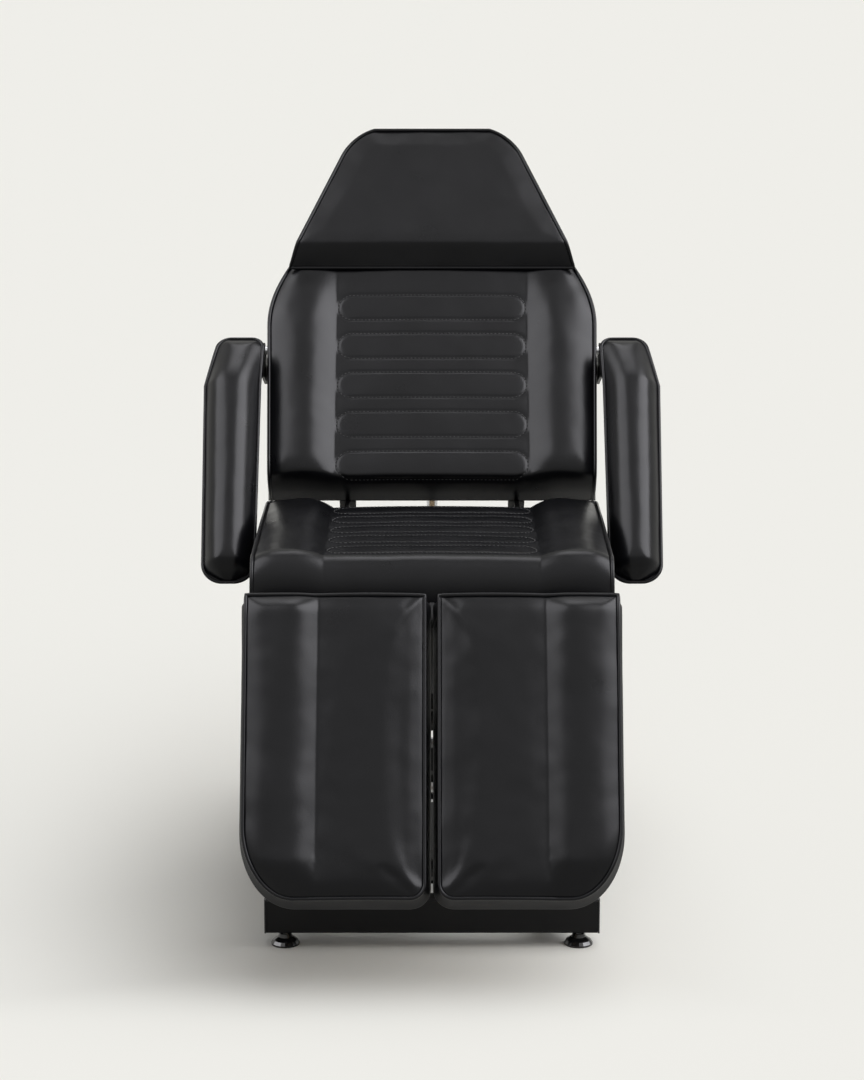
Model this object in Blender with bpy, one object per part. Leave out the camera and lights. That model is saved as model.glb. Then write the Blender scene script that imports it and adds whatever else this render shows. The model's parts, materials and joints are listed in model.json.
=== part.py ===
"""Podiatry chair: padded seat, reclining back with a head pillow, two separate leg rests and
lifting armrests, carried by a swing-arm lift on a steel floor frame.

Metres, +Z up, +X to the right of someone looking at the chair from its foot end, which faces -Y.
Each moving group is modelled flat, as it lies on the fully reclined chair, under an empty on its
hinge axis. The empty turns the group to the sitting position.
"""

import math

import bmesh
import bpy
from mathutils import Vector

# Clearances
GAP = 0.0004
SIDE_GAP = 0.002
PIN_PLAY = 0.0004
WELD = 0.001
FLATNESS = 0.00003
TUBE_CORNER = 0.003

# Floor frame
BASE_WIDTH = 0.572
BASE_LENGTH = 0.86
BASE_SETBACK = 0.02
BAR_DEEP = 0.04
BAR_HIGH = 0.06
BAR_RAISED = 0.025
RAIL_WIDE = 0.04
RAIL_HIGH = 0.05
PLUG_FLANGE = 0.003
PLUG_DEPTH = 0.016
TUBE_WALL = 0.003
FOOT_INSET = 0.035
FOOT_RADIUS = 0.0245
FOOT_BELL = 0.019
STEM_RADIUS = 0.005
STEM_LENGTH = 0.046

# Swing-arm lift
ARM_LENGTH = 0.40
ARM_SPACING = 0.28
ARM_ANGLE = 20.0
ARM_X = 0.19
ARM_THICK = 0.02
ARM_EYE = 0.02
AXLE_RADIUS = 0.010
AXLE_HEAD = 0.004
AXLE_HEAD_SPREAD = 1.35
LOWER_PIVOT_Y = 0.50
LOWER_PIVOT_RISE = 0.030
BASE_LUG_THICK = 0.008
CROSS_TUBE_RADIUS = 0.014
CRANK_RADIUS = 0.16
CRANK_TUBE = 0.105
REAR_CROSS_TUBE = 0.20

# Carriage and seat frame
CARRIAGE_TUBE = 0.030
CARRIAGE_RAIL_HIGH = 0.040
CARRIAGE_RAIL_X = 0.15
CARRIAGE_OVERHANG = 0.03
POST_FLANGE = 0.005
POST_FLANGE_REACH = 0.045
SEAT_FRAME_TOP = 0.585
SEAT_TUBE = 0.030
SEAT_FRAME_HALF = 0.27
SEAT_FRAME_FRONT = 0.02
SEAT_FRAME_REAR = 0.0165

# Seat pad
SEAT_LENGTH = 0.4765
SEAT_HALF = 0.298
SEAT_BOARD = 0.015
SEAT_BOARD_INSET = 0.007
SEAT_FOAM = 0.081
SEAT_BOLSTER = 0.0175
SEAT_NOSE = 0.045
SEAT_NOSE_LIP = 0.04
SEAT_NOSE_FULLNESS = 0.85

# Back, modelled flat from its hinge
BACK_ANGLE = 52.0
BACK_PIVOT_BEHIND = 0.0195
BACK_PIVOT_RISE = 0.067
BACK_START = 0.054
BACK_LENGTH = 0.762
BACK_HALF = 0.2965
BACK_WIDENING = 0.008
BACK_BOARD_DROP = 0.039
BACK_BOARD = 0.015
BACK_BOARD_INSET = 0.007
BACK_FOAM = 0.065
BACK_BOLSTER = 0.018
SHOULDER_START = 0.33
SHOULDER_END = 0.460
HEAD_HALF = 0.268
HEAD_TAPER = 0.40
HEAD_CORNER = 0.065
BACK_TUBE = 0.030
BACK_TUBE_X = 0.156
BACK_FRAME_END = 0.60
HINGE_PLATE = 0.008
HINGE_EYE = 0.015
HINGE_PIN = 0.007

# Head pillow
PILLOW_START = 0.452
PILLOW_BEVEL = 0.034
PILLOW_LOW = 0.040
PILLOW_TOP = 0.020
PILLOW_INSET = 0.003
PILLOW_LIP = 0.05

# Padding shared by seat and back
PANEL_HALF = 0.181
BOLSTER_RAMP = 0.040
CHANNEL_ROWS = 5
CHANNEL_HALF = 0.176
CHANNEL_HIGH = 0.0535
BACK_CHANNEL_PITCH = 0.0832
BACK_CHANNEL_FIRST = 0.035
SEAT_CHANNEL_PITCH = 0.0832
SEAT_CHANNEL_FIRST = 0.085
GROOVE_DEPTH = 0.0025
GROOVE_WIDE = 0.006
CHANNEL_PUFF = 0.002
EDGE_ROUND = 0.030
EDGE_DROP = 0.010
BOXING_FLARE = 0.010
BACK_FLARE = 0.006

# Leg rests, modelled level from their hinge
LEG_ANGLE = 62.0
LEG_PIVOT_AHEAD = 0.0346
LEG_START = 0.0246
LEG_LENGTH = 0.4924
LEG_INNER = 0.0115
LEG_BOARD_RISE = 0.017
LEG_BOARD = 0.013
LEG_BOARD_INSET = 0.006
LEG_FOAM = 0.057
LEG_BOLSTER = 0.015
LEG_BOLSTER_X = 0.186
LEG_BOLSTER_RAMP = 0.024
LEG_WIDER = 0.003
LEG_OUTER_CORNER = 0.080
LEG_OUTER_CORNER_LONG = 0.115
LEG_INNER_CORNER = 0.024
LEG_INNER_FLARE = 0.004
LEG_TUBE = 0.025
LEG_TUBE_INNER_X = 0.078
LEG_TUBE_OUTER_X = 0.235
LEG_EYE = 0.0145
LEG_AXLE = 0.007
LEG_LUG_THICK = 0.008
LEG_STRUT_X = 0.085
LEG_STRUT_BACK = 0.16
LEG_STRUT_DROP = 0.045

# Armrests, modelled beside the flat back
ARMREST_PIVOT_Y = 0.344
ARMREST_FRONT = -0.178
ARMREST_BEND = 0.224
ARMREST_REAR = 0.330
ARMREST_TOP = 0.131
ARMREST_DROP = 0.040
ARMREST_THICK = 0.057
ARMREST_INNER = 0.3145
ARMREST_WIDE = 0.094
ARMREST_WIDENING = 0.009
ARMREST_OUTER_TAPER = 0.022
ARMREST_INNER_TAPER = 0.004
ARMREST_END_THIN = 0.45
ARMREST_FRONT_ROUND = 0.034
ARMREST_REAR_ROUND = 0.021
ARMREST_SIDE_POWER = 0.42
ARMREST_FACE_POWER = 0.55
ARMREST_STRAP = 0.006
ARMREST_STRAP_HALF = 0.0125
ARMREST_PLATE = 0.004
ARMREST_PLATE_WIDE = 0.060
ARMREST_PLATE_FRONT = 0.02
BRACKET_X = 0.3135
BRACKET_THICK = 0.005
BRACKET_EYE = 0.014
BRACKET_TAIL = 0.06
ARMREST_BOLT = 0.006

# Actuators and leg struts
MOTOR_RADIUS = 0.024
MOTOR_LENGTH = 0.11
MOTOR_OFFSET = 0.052
GEARBOX_START = 0.016
GEARBOX_LENGTH = 0.034
ACTUATOR_TUBE = 0.019
ACTUATOR_BORE = 0.0115
ACTUATOR_ROD = 0.010
STRUT_TUBE = 0.014
STRUT_BORE = 0.0085
STRUT_ROD = 0.007
LUG_HALF = 0.004
LUG_EYE = 0.013
FORK_GAP = 0.0015
FORK_CHEEK = 0.005
FORK_DEPTH = 0.034
ANCHOR_PIN = 0.006
LIFT_ANCHOR_AHEAD = 0.025
LIFT_ANCHOR_RISE = 0.020
LIFT_TUBE_END = 0.215
LIFT_ROD_HIDDEN = 0.150
BACK_ANCHOR_Y = 0.36
ANCHOR_RISE = 0.048
BACK_LUG_Y = 0.154
BACK_LUG_DROP = 0.10
BACK_TUBE_END = 0.325
BACK_ROD_HIDDEN = 0.175
STRUT_ANCHOR_Y = 0.30
STRUT_TUBE_END = 0.335
STRUT_ROD_HIDDEN = 0.20

# Control unit under the seat
CONTROL_WIDE = 0.20
CONTROL_LONG = 0.16
CONTROL_HIGH = 0.060
CONTROL_FRONT = 0.17
INLET_WIDE = 0.030
INLET_HIGH = 0.024
INLET_DEEP = 0.006
SOCKET_RADIUS = 0.009

# Places that follow from the sizes above
LOWER_PIVOT_Z = BAR_RAISED + BAR_HIGH / 2 + RAIL_HIGH / 2 + LOWER_PIVOT_RISE + ARM_EYE / 4
ARM_RISE = ARM_LENGTH * math.sin(math.radians(ARM_ANGLE))
ARM_REACH = ARM_LENGTH * math.cos(math.radians(ARM_ANGLE))
UPPER_PIVOT_Y = LOWER_PIVOT_Y - ARM_REACH
UPPER_PIVOT_Z = LOWER_PIVOT_Z + ARM_RISE
SEAT_FRAME_LOW = SEAT_FRAME_TOP - SEAT_TUBE
SEAT_FRAME_BACK_Y = SEAT_LENGTH - SEAT_FRAME_REAR
SEAT_BASE = SEAT_FRAME_TOP + SEAT_BOARD + 2 * GAP
BACK_PIVOT = Vector((0, SEAT_LENGTH + BACK_PIVOT_BEHIND, SEAT_FRAME_TOP + BACK_PIVOT_RISE))
LEG_PIVOT = Vector((0, -LEG_PIVOT_AHEAD, SEAT_FRAME_TOP))
BACK_BASE = BACK_BOARD + GAP - BACK_BOARD_DROP
BACK_FACE = BACK_BASE + BACK_FOAM
BACK_TUBE_TOP = -BACK_BOARD_DROP - GAP
LEG_BASE = LEG_BOARD_RISE + LEG_BOARD + GAP
LEG_OUTER = SEAT_HALF + LEG_WIDER
ANCHOR_Z = UPPER_PIVOT_Z + ANCHOR_RISE
ARMREST_SLOPE = ARMREST_DROP / (ARMREST_REAR - ARMREST_BEND)
ARMREST_PLATE_Z = ARMREST_TOP - ARMREST_THICK - GAP - ARMREST_PLATE
ARMREST_BEND_Z = ARMREST_PLATE_Z + ARMREST_PLATE / 2 - ARMREST_STRAP_HALF
ARMREST_PIVOT_Z = ARMREST_BEND_Z - ARMREST_SLOPE * (ARMREST_PIVOT_Y - ARMREST_BEND)


def clear_scene():
    for obj in list(bpy.data.objects):
        bpy.data.objects.remove(obj, do_unlink=True)


def finish(name, color, roughness, metallic):
    """A plain surface finish, as one Principled material."""
    made = bpy.data.materials.new(name)
    made.use_nodes = True
    shader = made.node_tree.nodes["Principled BSDF"]
    shader.inputs["Base Color"].default_value = (*color, 1)
    shader.inputs["Roughness"].default_value = roughness
    shader.inputs["Metallic"].default_value = metallic
    return made


def pivot(name, place, turn_x=0.0, parent=None):
    """An empty on a hinge axis, turned about X by some degrees."""
    empty = bpy.data.objects.new(name, None)
    empty.location = place
    empty.rotation_euler = (math.radians(turn_x), 0, 0)
    empty.parent = parent
    bpy.context.scene.collection.objects.link(empty)
    return empty


def as_object(name, bm):
    bmesh.ops.recalc_face_normals(bm, faces=bm.faces)
    mesh = bpy.data.meshes.new(name)
    bm.to_mesh(mesh)
    bm.free()
    obj = bpy.data.objects.new(name, mesh)
    bpy.context.scene.collection.objects.link(obj)
    return obj


def piece(name, solids, look, parent, holes=(), offset=None):
    """One sub-part: its solids welded into one body and its holes cut, under a pivot empty.
    A group that is modelled in chair coordinates gives its pivot's place as the offset."""
    obj = as_object(name, solids[0])
    tools = [(other, "UNION") for other in solids[1:]] + [(hole, "DIFFERENCE") for hole in holes]
    helpers = []
    for tool, operation in tools:
        helper = as_object(name + "_tool", tool)
        step = obj.modifiers.new(operation.lower(), "BOOLEAN")
        step.operation = operation
        step.object = helper
        helpers.append(helper)
    if helpers:
        bpy.context.view_layer.update()
        graph = bpy.context.evaluated_depsgraph_get()
        welded = bpy.data.meshes.new_from_object(obj.evaluated_get(graph))
        obj.modifiers.clear()
        obj.data = welded
    for helper in helpers:
        bpy.data.objects.remove(helper, do_unlink=True)
    if offset is not None:
        for vertex in obj.data.vertices:
            vertex.co -= offset
    obj.data.materials.clear()
    obj.data.materials.append(look)
    obj.data.shade_smooth()
    obj.data.set_sharp_from_angle(angle=math.radians(35))
    obj.parent = parent
    return obj


# Basic solids

def block(x, y, z, chamfer=0.0):
    """A box between pairs of limits. Its longest edges are chamfered, as on a drawn tube."""
    bm = bmesh.new()
    bmesh.ops.create_cube(bm, size=1)
    sizes = [high - low for low, high in (x, y, z)]
    middle = [(high + low) / 2 for low, high in (x, y, z)]
    for vertex in bm.verts:
        vertex.co = [vertex.co[i] * sizes[i] + middle[i] for i in range(3)]
    if chamfer:
        along = sizes.index(max(sizes))
        across = [i for i in range(3) if i != along]
        edges = []
        for edge in bm.edges:
            span = edge.verts[1].co - edge.verts[0].co
            if max(abs(span[i]) for i in across) < 1e-6:
                edges.append(edge)
        bmesh.ops.bevel(bm, geom=edges, offset=chamfer, segments=1, affect="EDGES")
    return bm


def tube(x, y, z):
    return block(x, y, z, chamfer=TUBE_CORNER)


def turned(profile, centre, axis="X", sides=12):
    """A round piece: (station, radius) pairs along an axis through a centre."""
    bm = bmesh.new()
    rings = []
    for station, radius in profile:
        ring = []
        for k in range(sides):
            turn = 2 * math.pi * k / sides
            a = radius * math.cos(turn)
            b = radius * math.sin(turn)
            offset = {"X": (station, a, b), "Y": (a, station, b), "Z": (a, b, station)}[axis]
            ring.append(bm.verts.new(Vector(centre) + Vector(offset)))
        rings.append(ring)
    for low, high in zip(rings, rings[1:]):
        for k in range(sides):
            n = (k + 1) % sides
            bm.faces.new((low[k], low[n], high[n], high[k]))
    bm.faces.new(rings[0][::-1])
    bm.faces.new(rings[-1])
    return bm


def bore(radius, x, y, z, sides=12):
    """A cutter along X, wide enough for a round pin of this radius to turn freely in its facets."""
    fitted = (radius + PIN_PLAY) / math.cos(math.pi / sides)
    return turned([(x[0], fitted), (x[1], fitted)], (0, y, z), sides=sides)


def hull(circles, arc_points=12):
    """The tight outline round some circles, each given as (y, z, radius)."""
    points = []
    for y, z, radius in circles:
        for k in range(arc_points):
            turn = 2 * math.pi * k / arc_points
            points.append((y + radius * math.cos(turn), z + radius * math.sin(turn)))
    points = sorted(set(points))

    def half(ordered):
        chain_points = []
        for p in ordered:
            while len(chain_points) > 1:
                (ay, az), (by, bz) = chain_points[-2:]
                turn_area = (by - ay) * (p[1] - az) - (bz - az) * (p[0] - ay)
                if turn_area > FLATNESS * math.dist(p, (ay, az)):
                    break
                chain_points.pop()
            chain_points.append(p)
        return chain_points[:-1]

    return half(points) + half(points[::-1])


def plate(outline, x0, x1):
    """A flat plate standing across X, with an outline of (y, z) points."""
    bm = bmesh.new()
    near = [bm.verts.new((x0, y, z)) for y, z in outline]
    far = [bm.verts.new((x1, y, z)) for y, z in outline]
    count = len(outline)
    for k in range(count):
        n = (k + 1) % count
        bm.faces.new((near[k], near[n], far[n], far[k]))
    bm.faces.new(near[::-1])
    bm.faces.new(far)
    return bm


def chain(circles, x0, x1):
    """A bent flat bar through a row of circles, as one plate for each straight run. Every second
    run is a hair slimmer, so that two runs never share a face."""
    low, high = sorted((x0, x1))
    runs = []
    for index, (start, end) in enumerate(zip(circles, circles[1:])):
        slim = WELD * (index % 2)
        ends = [(y, z, radius - slim) for y, z, radius in (start, end)]
        runs.append(plate(hull(ends), low + slim, high - slim))
    return runs


def board(outline, z0, z1):
    """A flat board with an outline of (x, y) points."""
    bm = bmesh.new()
    low = [bm.verts.new((x, y, z0)) for x, y in outline]
    high = [bm.verts.new((x, y, z1)) for x, y in outline]
    count = len(outline)
    for k in range(count):
        n = (k + 1) % count
        bm.faces.new((low[k], low[n], high[n], high[k]))
    bm.faces.new(low[::-1])
    bm.faces.new(high)
    return bm


# Padding

def smooth(low, high, value):
    t = min(1.0, max(0.0, (value - low) / (high - low)))
    return t * t * (3 - 2 * t)


def edge_fall(distance):
    """How far the cover falls near a piped edge."""
    inward = min(1.0, max(0.0, distance / EDGE_ROUND))
    return EDGE_DROP * (1 - inward) ** 2


def side_bolster(x, start, ramp, outer, rise):
    """A raised roll beside the centre panel, highest a ramp's width past its crease."""
    climb = smooth(start, start + ramp, x)
    sink = 0.35 * smooth(start + ramp, outer, x)
    return rise * (climb - sink * climb)


def stitched_oblong(x, along, middle):
    """Height of one sewn, round-ended channel: a groove on its outline, puffed inside."""
    half_high = CHANNEL_HIGH / 2
    past_end = max(abs(x) - (CHANNEL_HALF - half_high), 0.0)
    outside = math.hypot(past_end, along - middle) - half_high
    groove = GROOVE_DEPTH * max(0.0, 1 - abs(outside) / GROOVE_WIDE)
    puff = CHANNEL_PUFF * min(1.0, max(0.0, -outside / (half_high / 2)))
    return puff - groove


def channels(x, along, first, pitch):
    nearest = min(CHANNEL_ROWS - 1, max(0, round((along - first) / pitch)))
    return stitched_oblong(x, along, first + nearest * pitch)


def channel_rows(first, pitch):
    """Stations along a panel that catch each channel's grooves and crown."""
    half_high = CHANNEL_HIGH / 2
    rows = []
    for k in range(CHANNEL_ROWS):
        middle = first + k * pitch
        for step in (-half_high - GROOVE_WIDE, -half_high, -half_high + GROOVE_WIDE):
            rows.append(middle + step)
        rows.append(middle)
        for step in (half_high - GROOVE_WIDE, half_high, half_high + GROOVE_WIDE):
            rows.append(middle + step)
    return rows


def pad(rows, base, flare, front_flare=0.0, rear_flare=0.0, waist=0.25):
    """A closed cushion: a grid of top points, boxing drawn in below its piped edge and flaring to
    the flat base. Each row runs from low x to high x, and the rows run from low y to high y."""
    bm = bmesh.new()
    grid = [[bm.verts.new(point) for point in row] for row in rows]
    for low, high in zip(grid, grid[1:]):
        for k in range(len(low) - 1):
            bm.faces.new((low[k], low[k + 1], high[k + 1], high[k]))
    rim = grid[0] + [row[-1] for row in grid[1:-1]] + grid[-1][::-1] + [row[0] for row in grid[-2:0:-1]]
    count = len(rim)
    ring = rim
    for share, drawn_in in ((0.5, waist), (0.0, 1.0)):
        lower = []
        for k, vertex in enumerate(rim):
            ahead = rim[(k + 1) % count].co
            behind = rim[k - 1].co
            out = Vector((ahead.y - behind.y, behind.x - ahead.x))
            out.normalize()
            reach = Vector((flare * out.x, (front_flare if out.y < 0 else rear_flare) * out.y))
            place = vertex.co.xy + reach * drawn_in
            lower.append(bm.verts.new((place.x, place.y, base + (vertex.co.z - base) * share)))
        for k in range(count):
            n = (k + 1) % count
            bm.faces.new((ring[k], lower[k], lower[n], ring[n]))
        ring = lower
    bm.faces.new(ring[::-1])
    return bm


def symmetric(stations):
    return [-x for x in stations[:0:-1]] + stations


# Floor frame

def build_base(root):
    half = BASE_WIDTH / 2
    bar_half = half - PLUG_FLANGE - GAP
    bar_z = (BAR_RAISED, BAR_RAISED + BAR_HIGH)
    bar_middle = BAR_RAISED + BAR_HIGH / 2
    rail_z = (bar_middle - RAIL_HIGH / 2, bar_middle + RAIL_HIGH / 2)
    fronts = (BASE_SETBACK, BASE_SETBACK + BASE_LENGTH - BAR_DEEP)
    rail_in = ARM_X + ARM_THICK / 2 + SIDE_GAP
    solids = []
    holes = []
    for front in fronts:
        solids.append(tube((-bar_half, bar_half), (front, front + BAR_DEEP), bar_z))
    for side in (-1, 1):
        rail_x = sorted((side * rail_in, side * (rail_in + RAIL_WIDE)))
        inside = (fronts[0] + BAR_DEEP - TUBE_CORNER, fronts[1] + TUBE_CORNER)
        solids.append(tube(rail_x, inside, rail_z))
        for lug_y in (LOWER_PIVOT_Y, LOWER_PIVOT_Y + ARM_SPACING):
            foot_z = rail_z[1] - TUBE_CORNER - ARM_EYE / 4
            outline = hull(
                [
                    (lug_y, LOWER_PIVOT_Z, ARM_EYE),
                    (lug_y - 1.5 * ARM_EYE, foot_z, ARM_EYE / 4),
                    (lug_y + 1.5 * ARM_EYE, foot_z, ARM_EYE / 4),
                ]
            )
            lug_in = rail_in + WELD
            solids.append(plate(outline, side * lug_in, side * (lug_in + BASE_LUG_THICK)))
    anchor = lift_anchor()
    cheek_in = LUG_EYE / 2 + FORK_GAP
    for side in (-1, 1):
        outline = hull(
            [
                (anchor.y, anchor.z, LUG_EYE),
                (fronts[0] + BAR_DEEP / 2, bar_z[1] - LUG_EYE, LUG_EYE / 2),
                (fronts[0] + BAR_DEEP, bar_middle, LUG_EYE / 2),
            ]
        )
        solids.append(plate(outline, side * cheek_in, side * (cheek_in + FORK_CHEEK)))
    for lug_y in (LOWER_PIVOT_Y, LOWER_PIVOT_Y + ARM_SPACING):
        holes.append(bore(AXLE_RADIUS, (-half, half), lug_y, LOWER_PIVOT_Z))
    holes.append(bore(ANCHOR_PIN, (-2 * LUG_EYE, 2 * LUG_EYE), anchor.y, anchor.z))
    for front in fronts:
        for side in (-1, 1):
            pocket_x = sorted((side * (bar_half - PLUG_DEPTH - GAP), side * half))
            pocket_y = (front + TUBE_WALL, front + BAR_DEEP - TUBE_WALL)
            pocket_z = (bar_z[0] + TUBE_WALL, bar_z[1] - TUBE_WALL)
            holes.append(block(pocket_x, pocket_y, pocket_z))
            stem_top = FOOT_BELL + STEM_LENGTH + SIDE_GAP
            foot = (side * (half - FOOT_INSET), front + BAR_DEEP / 2, 0)
            drilled = STEM_RADIUS + 2 * PIN_PLAY
            profile = [(BAR_RAISED - SIDE_GAP, drilled), (stem_top, drilled)]
            holes.append(turned(profile, foot, "Z"))
    piece("base_frame", solids, POWDER_COAT, root, holes)

    for front, end in zip(fronts, ("front", "rear")):
        for side, hand in ((-1, "left"), (1, "right")):
            build_plug(f"{end}_{hand}_plug", root, side, front, bar_z, bar_half)
            foot_y = front + BAR_DEEP / 2
            build_foot(f"{end}_{hand}_foot", root, side * (half - FOOT_INSET), foot_y)
    lug_out = rail_in + WELD + BASE_LUG_THICK
    build_axle("front_lower_axle", root, LOWER_PIVOT_Y, LOWER_PIVOT_Z, AXLE_RADIUS, lug_out)
    build_axle("rear_lower_axle", root, LOWER_PIVOT_Y + ARM_SPACING, LOWER_PIVOT_Z, AXLE_RADIUS, lug_out)
    build_axle("lift_anchor_pin", root, anchor.y, anchor.z, ANCHOR_PIN, cheek_in + FORK_CHEEK)


def build_plug(name, root, side, front, bar_z, bar_half):
    """A moulded cap with a spigot in the open end of a base tube."""
    inset = TUBE_WALL + GAP
    spigot_x = sorted((side * (bar_half - PLUG_DEPTH), side * (bar_half + GAP + PLUG_FLANGE / 2)))
    spigot_y = (front + inset, front + BAR_DEEP - inset)
    spigot_z = (bar_z[0] + inset, bar_z[1] - inset)
    flange_x = sorted((side * (bar_half + GAP), side * (bar_half + GAP + PLUG_FLANGE)))
    spigot = block(spigot_x, spigot_y, spigot_z)
    flange = block(flange_x, (front, front + BAR_DEEP), bar_z, chamfer=TUBE_CORNER / 2)
    piece(name, [flange, spigot], PLASTIC, root)


def build_foot(name, root, x, y):
    """A levelling foot: bell, hexagon and threaded stem, free to turn in the base bar."""
    bell = [
        (0, FOOT_RADIUS),
        (0.15 * FOOT_BELL, FOOT_RADIUS),
        (0.42 * FOOT_BELL, 0.86 * FOOT_RADIUS),
        (0.70 * FOOT_BELL, 0.52 * FOOT_RADIUS),
        (FOOT_BELL, 0.42 * FOOT_RADIUS),
    ]
    stem = [(FOOT_BELL / 2, STEM_RADIUS), (FOOT_BELL + STEM_LENGTH, STEM_RADIUS)]
    hexagon_top = BAR_RAISED - SIDE_GAP / 2
    hexagon = [(FOOT_BELL - SIDE_GAP, 1.7 * STEM_RADIUS), (hexagon_top, 1.7 * STEM_RADIUS)]
    axis = pivot(name + "_thread", (x, y, 0), parent=root)
    solids = [
        turned(bell, (0, 0, 0), "Z", sides=20),
        turned(stem, (0, 0, 0), "Z"),
        turned(hexagon, (0, 0, 0), "Z", sides=6),
    ]
    piece(name, solids, GLOSS_BLACK, axis)


def build_axle(name, parent, y, z, radius, reach, offset=None):
    """A round axle with a flat head at each end, just outside the outermost plate."""
    head = reach + GAP
    profile = [
        (-head - AXLE_HEAD, AXLE_HEAD_SPREAD * radius),
        (-head, AXLE_HEAD_SPREAD * radius),
        (-head, radius),
        (head, radius),
        (head, AXLE_HEAD_SPREAD * radius),
        (head + AXLE_HEAD, AXLE_HEAD_SPREAD * radius),
    ]
    piece(name, [turned(profile, (0, y, z))], STEEL, parent, offset=offset)


# Swing arms

def build_lift_arms(name, axis, cross_at, crank):
    """A pair of swing arms welded to a cross tube, modelled level from the lower axle."""
    solids = []
    outline = hull([(0, 0, ARM_EYE), (-ARM_LENGTH, 0, ARM_EYE)], arc_points=16)
    for side in (-1, 1):
        inner = side * (ARM_X - ARM_THICK / 2)
        outer = side * (ARM_X + ARM_THICK / 2)
        solids.append(plate(outline, inner, outer))
    cross = [(-ARM_X, CROSS_TUBE_RADIUS), (ARM_X, CROSS_TUBE_RADIUS)]
    solids.append(turned(cross, (0, -cross_at, 0)))
    reach = 2 * ARM_X
    holes = [bore(AXLE_RADIUS, (-reach, reach), 0, 0), bore(AXLE_RADIUS, (-reach, reach), -ARM_LENGTH, 0)]
    if crank:
        lug = hull([(-cross_at, 0, LUG_EYE), (-CRANK_RADIUS, 0, LUG_EYE)])
        solids.append(plate(lug, -LUG_HALF, LUG_HALF))
        holes.append(bore(ANCHOR_PIN, (-LUG_EYE, LUG_EYE), -CRANK_RADIUS, 0))
    piece(name, solids, POWDER_COAT, axis, holes)


# Carriage, seat frame and seat

def build_carriage(axis):
    shift = axis.location.copy()
    half_tube = CARRIAGE_TUBE / 2
    rail_z = (UPPER_PIVOT_Z - CARRIAGE_RAIL_HIGH / 2, UPPER_PIVOT_Z + CARRIAGE_RAIL_HIGH / 2)
    rear_pivot_y = UPPER_PIVOT_Y + ARM_SPACING
    rail_y = (UPPER_PIVOT_Y - CARRIAGE_OVERHANG, rear_pivot_y + CARRIAGE_OVERHANG)
    cross_y = (STRUT_ANCHOR_Y + BACK_ANCHOR_Y) / 2
    solids = []
    for side in (-1, 1):
        x = sorted((side * (CARRIAGE_RAIL_X - half_tube), side * (CARRIAGE_RAIL_X + half_tube)))
        solids.append(tube(x, rail_y, rail_z))
    inside = (-CARRIAGE_RAIL_X, CARRIAGE_RAIL_X)
    front_cross = UPPER_PIVOT_Y + CARRIAGE_TUBE + AXLE_RADIUS
    for y in (front_cross, cross_y):
        cross_z = (UPPER_PIVOT_Z - half_tube, UPPER_PIVOT_Z + half_tube)
        solids.append(tube(inside, (y - half_tube, y + half_tube), cross_z))
    flange_top = SEAT_FRAME_LOW - GAP
    post_z = (rail_z[1] - TUBE_CORNER, flange_top - POST_FLANGE / 2)
    for side in (-1, 1):
        for y in (UPPER_PIVOT_Y, rear_pivot_y):
            x = (side * CARRIAGE_RAIL_X - half_tube + WELD, side * CARRIAGE_RAIL_X + half_tube - WELD)
            solids.append(tube(x, (y - half_tube, y + half_tube), post_z))
            flange_y = (y - POST_FLANGE_REACH, y + POST_FLANGE_REACH)
            solids.append(block(x, flange_y, (flange_top - POST_FLANGE, flange_top)))
    holes = []
    anchors = [
        (0, BACK_ANCHOR_Y, "back_anchor_pin"),
        (-LEG_STRUT_X, STRUT_ANCHOR_Y, "left_strut_pin"),
        (LEG_STRUT_X, STRUT_ANCHOR_Y, "right_strut_pin"),
    ]
    cheek_in = LUG_EYE / 2 + FORK_GAP
    for x, y, _ in anchors:
        outline = hull(
            [
                (y, ANCHOR_Z, LUG_EYE),
                (cross_y - half_tube / 2, UPPER_PIVOT_Z, half_tube / 3),
                (cross_y + half_tube / 2, UPPER_PIVOT_Z, half_tube / 3),
            ]
        )
        for side in (-1, 1):
            solids.append(plate(outline, x + side * cheek_in, x + side * (cheek_in + FORK_CHEEK)))
        holes.append(bore(ANCHOR_PIN, (x - 2 * LUG_EYE, x + 2 * LUG_EYE), y, ANCHOR_Z))
    reach = CARRIAGE_RAIL_X + CARRIAGE_TUBE
    for y in (UPPER_PIVOT_Y, rear_pivot_y):
        holes.append(bore(AXLE_RADIUS, (-reach, reach), y, UPPER_PIVOT_Z))
    piece("carriage_frame", solids, POWDER_COAT, axis, holes, shift)
    arm_out = ARM_X + ARM_THICK / 2 + SIDE_GAP
    build_axle("front_upper_axle", axis, UPPER_PIVOT_Y, UPPER_PIVOT_Z, AXLE_RADIUS, arm_out, shift)
    build_axle("rear_upper_axle", axis, rear_pivot_y, UPPER_PIVOT_Z, AXLE_RADIUS, arm_out, shift)
    for x, y, name in anchors:
        centred = shift - Vector((x, 0, 0))
        build_axle(name, axis, y, ANCHOR_Z, ANCHOR_PIN, cheek_in + FORK_CHEEK, centred)
    build_seat_frame(axis, shift)
    build_seat(axis, shift)
    build_control(axis, shift)


def leg_lug_places():
    """Inner faces of the plates that hold the leg axle: beside both eyes of each leg rest."""
    half_tube = LEG_TUBE / 2
    return [x + half_tube + SIDE_GAP for x in (LEG_TUBE_INNER_X, LEG_TUBE_OUTER_X)]


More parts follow.
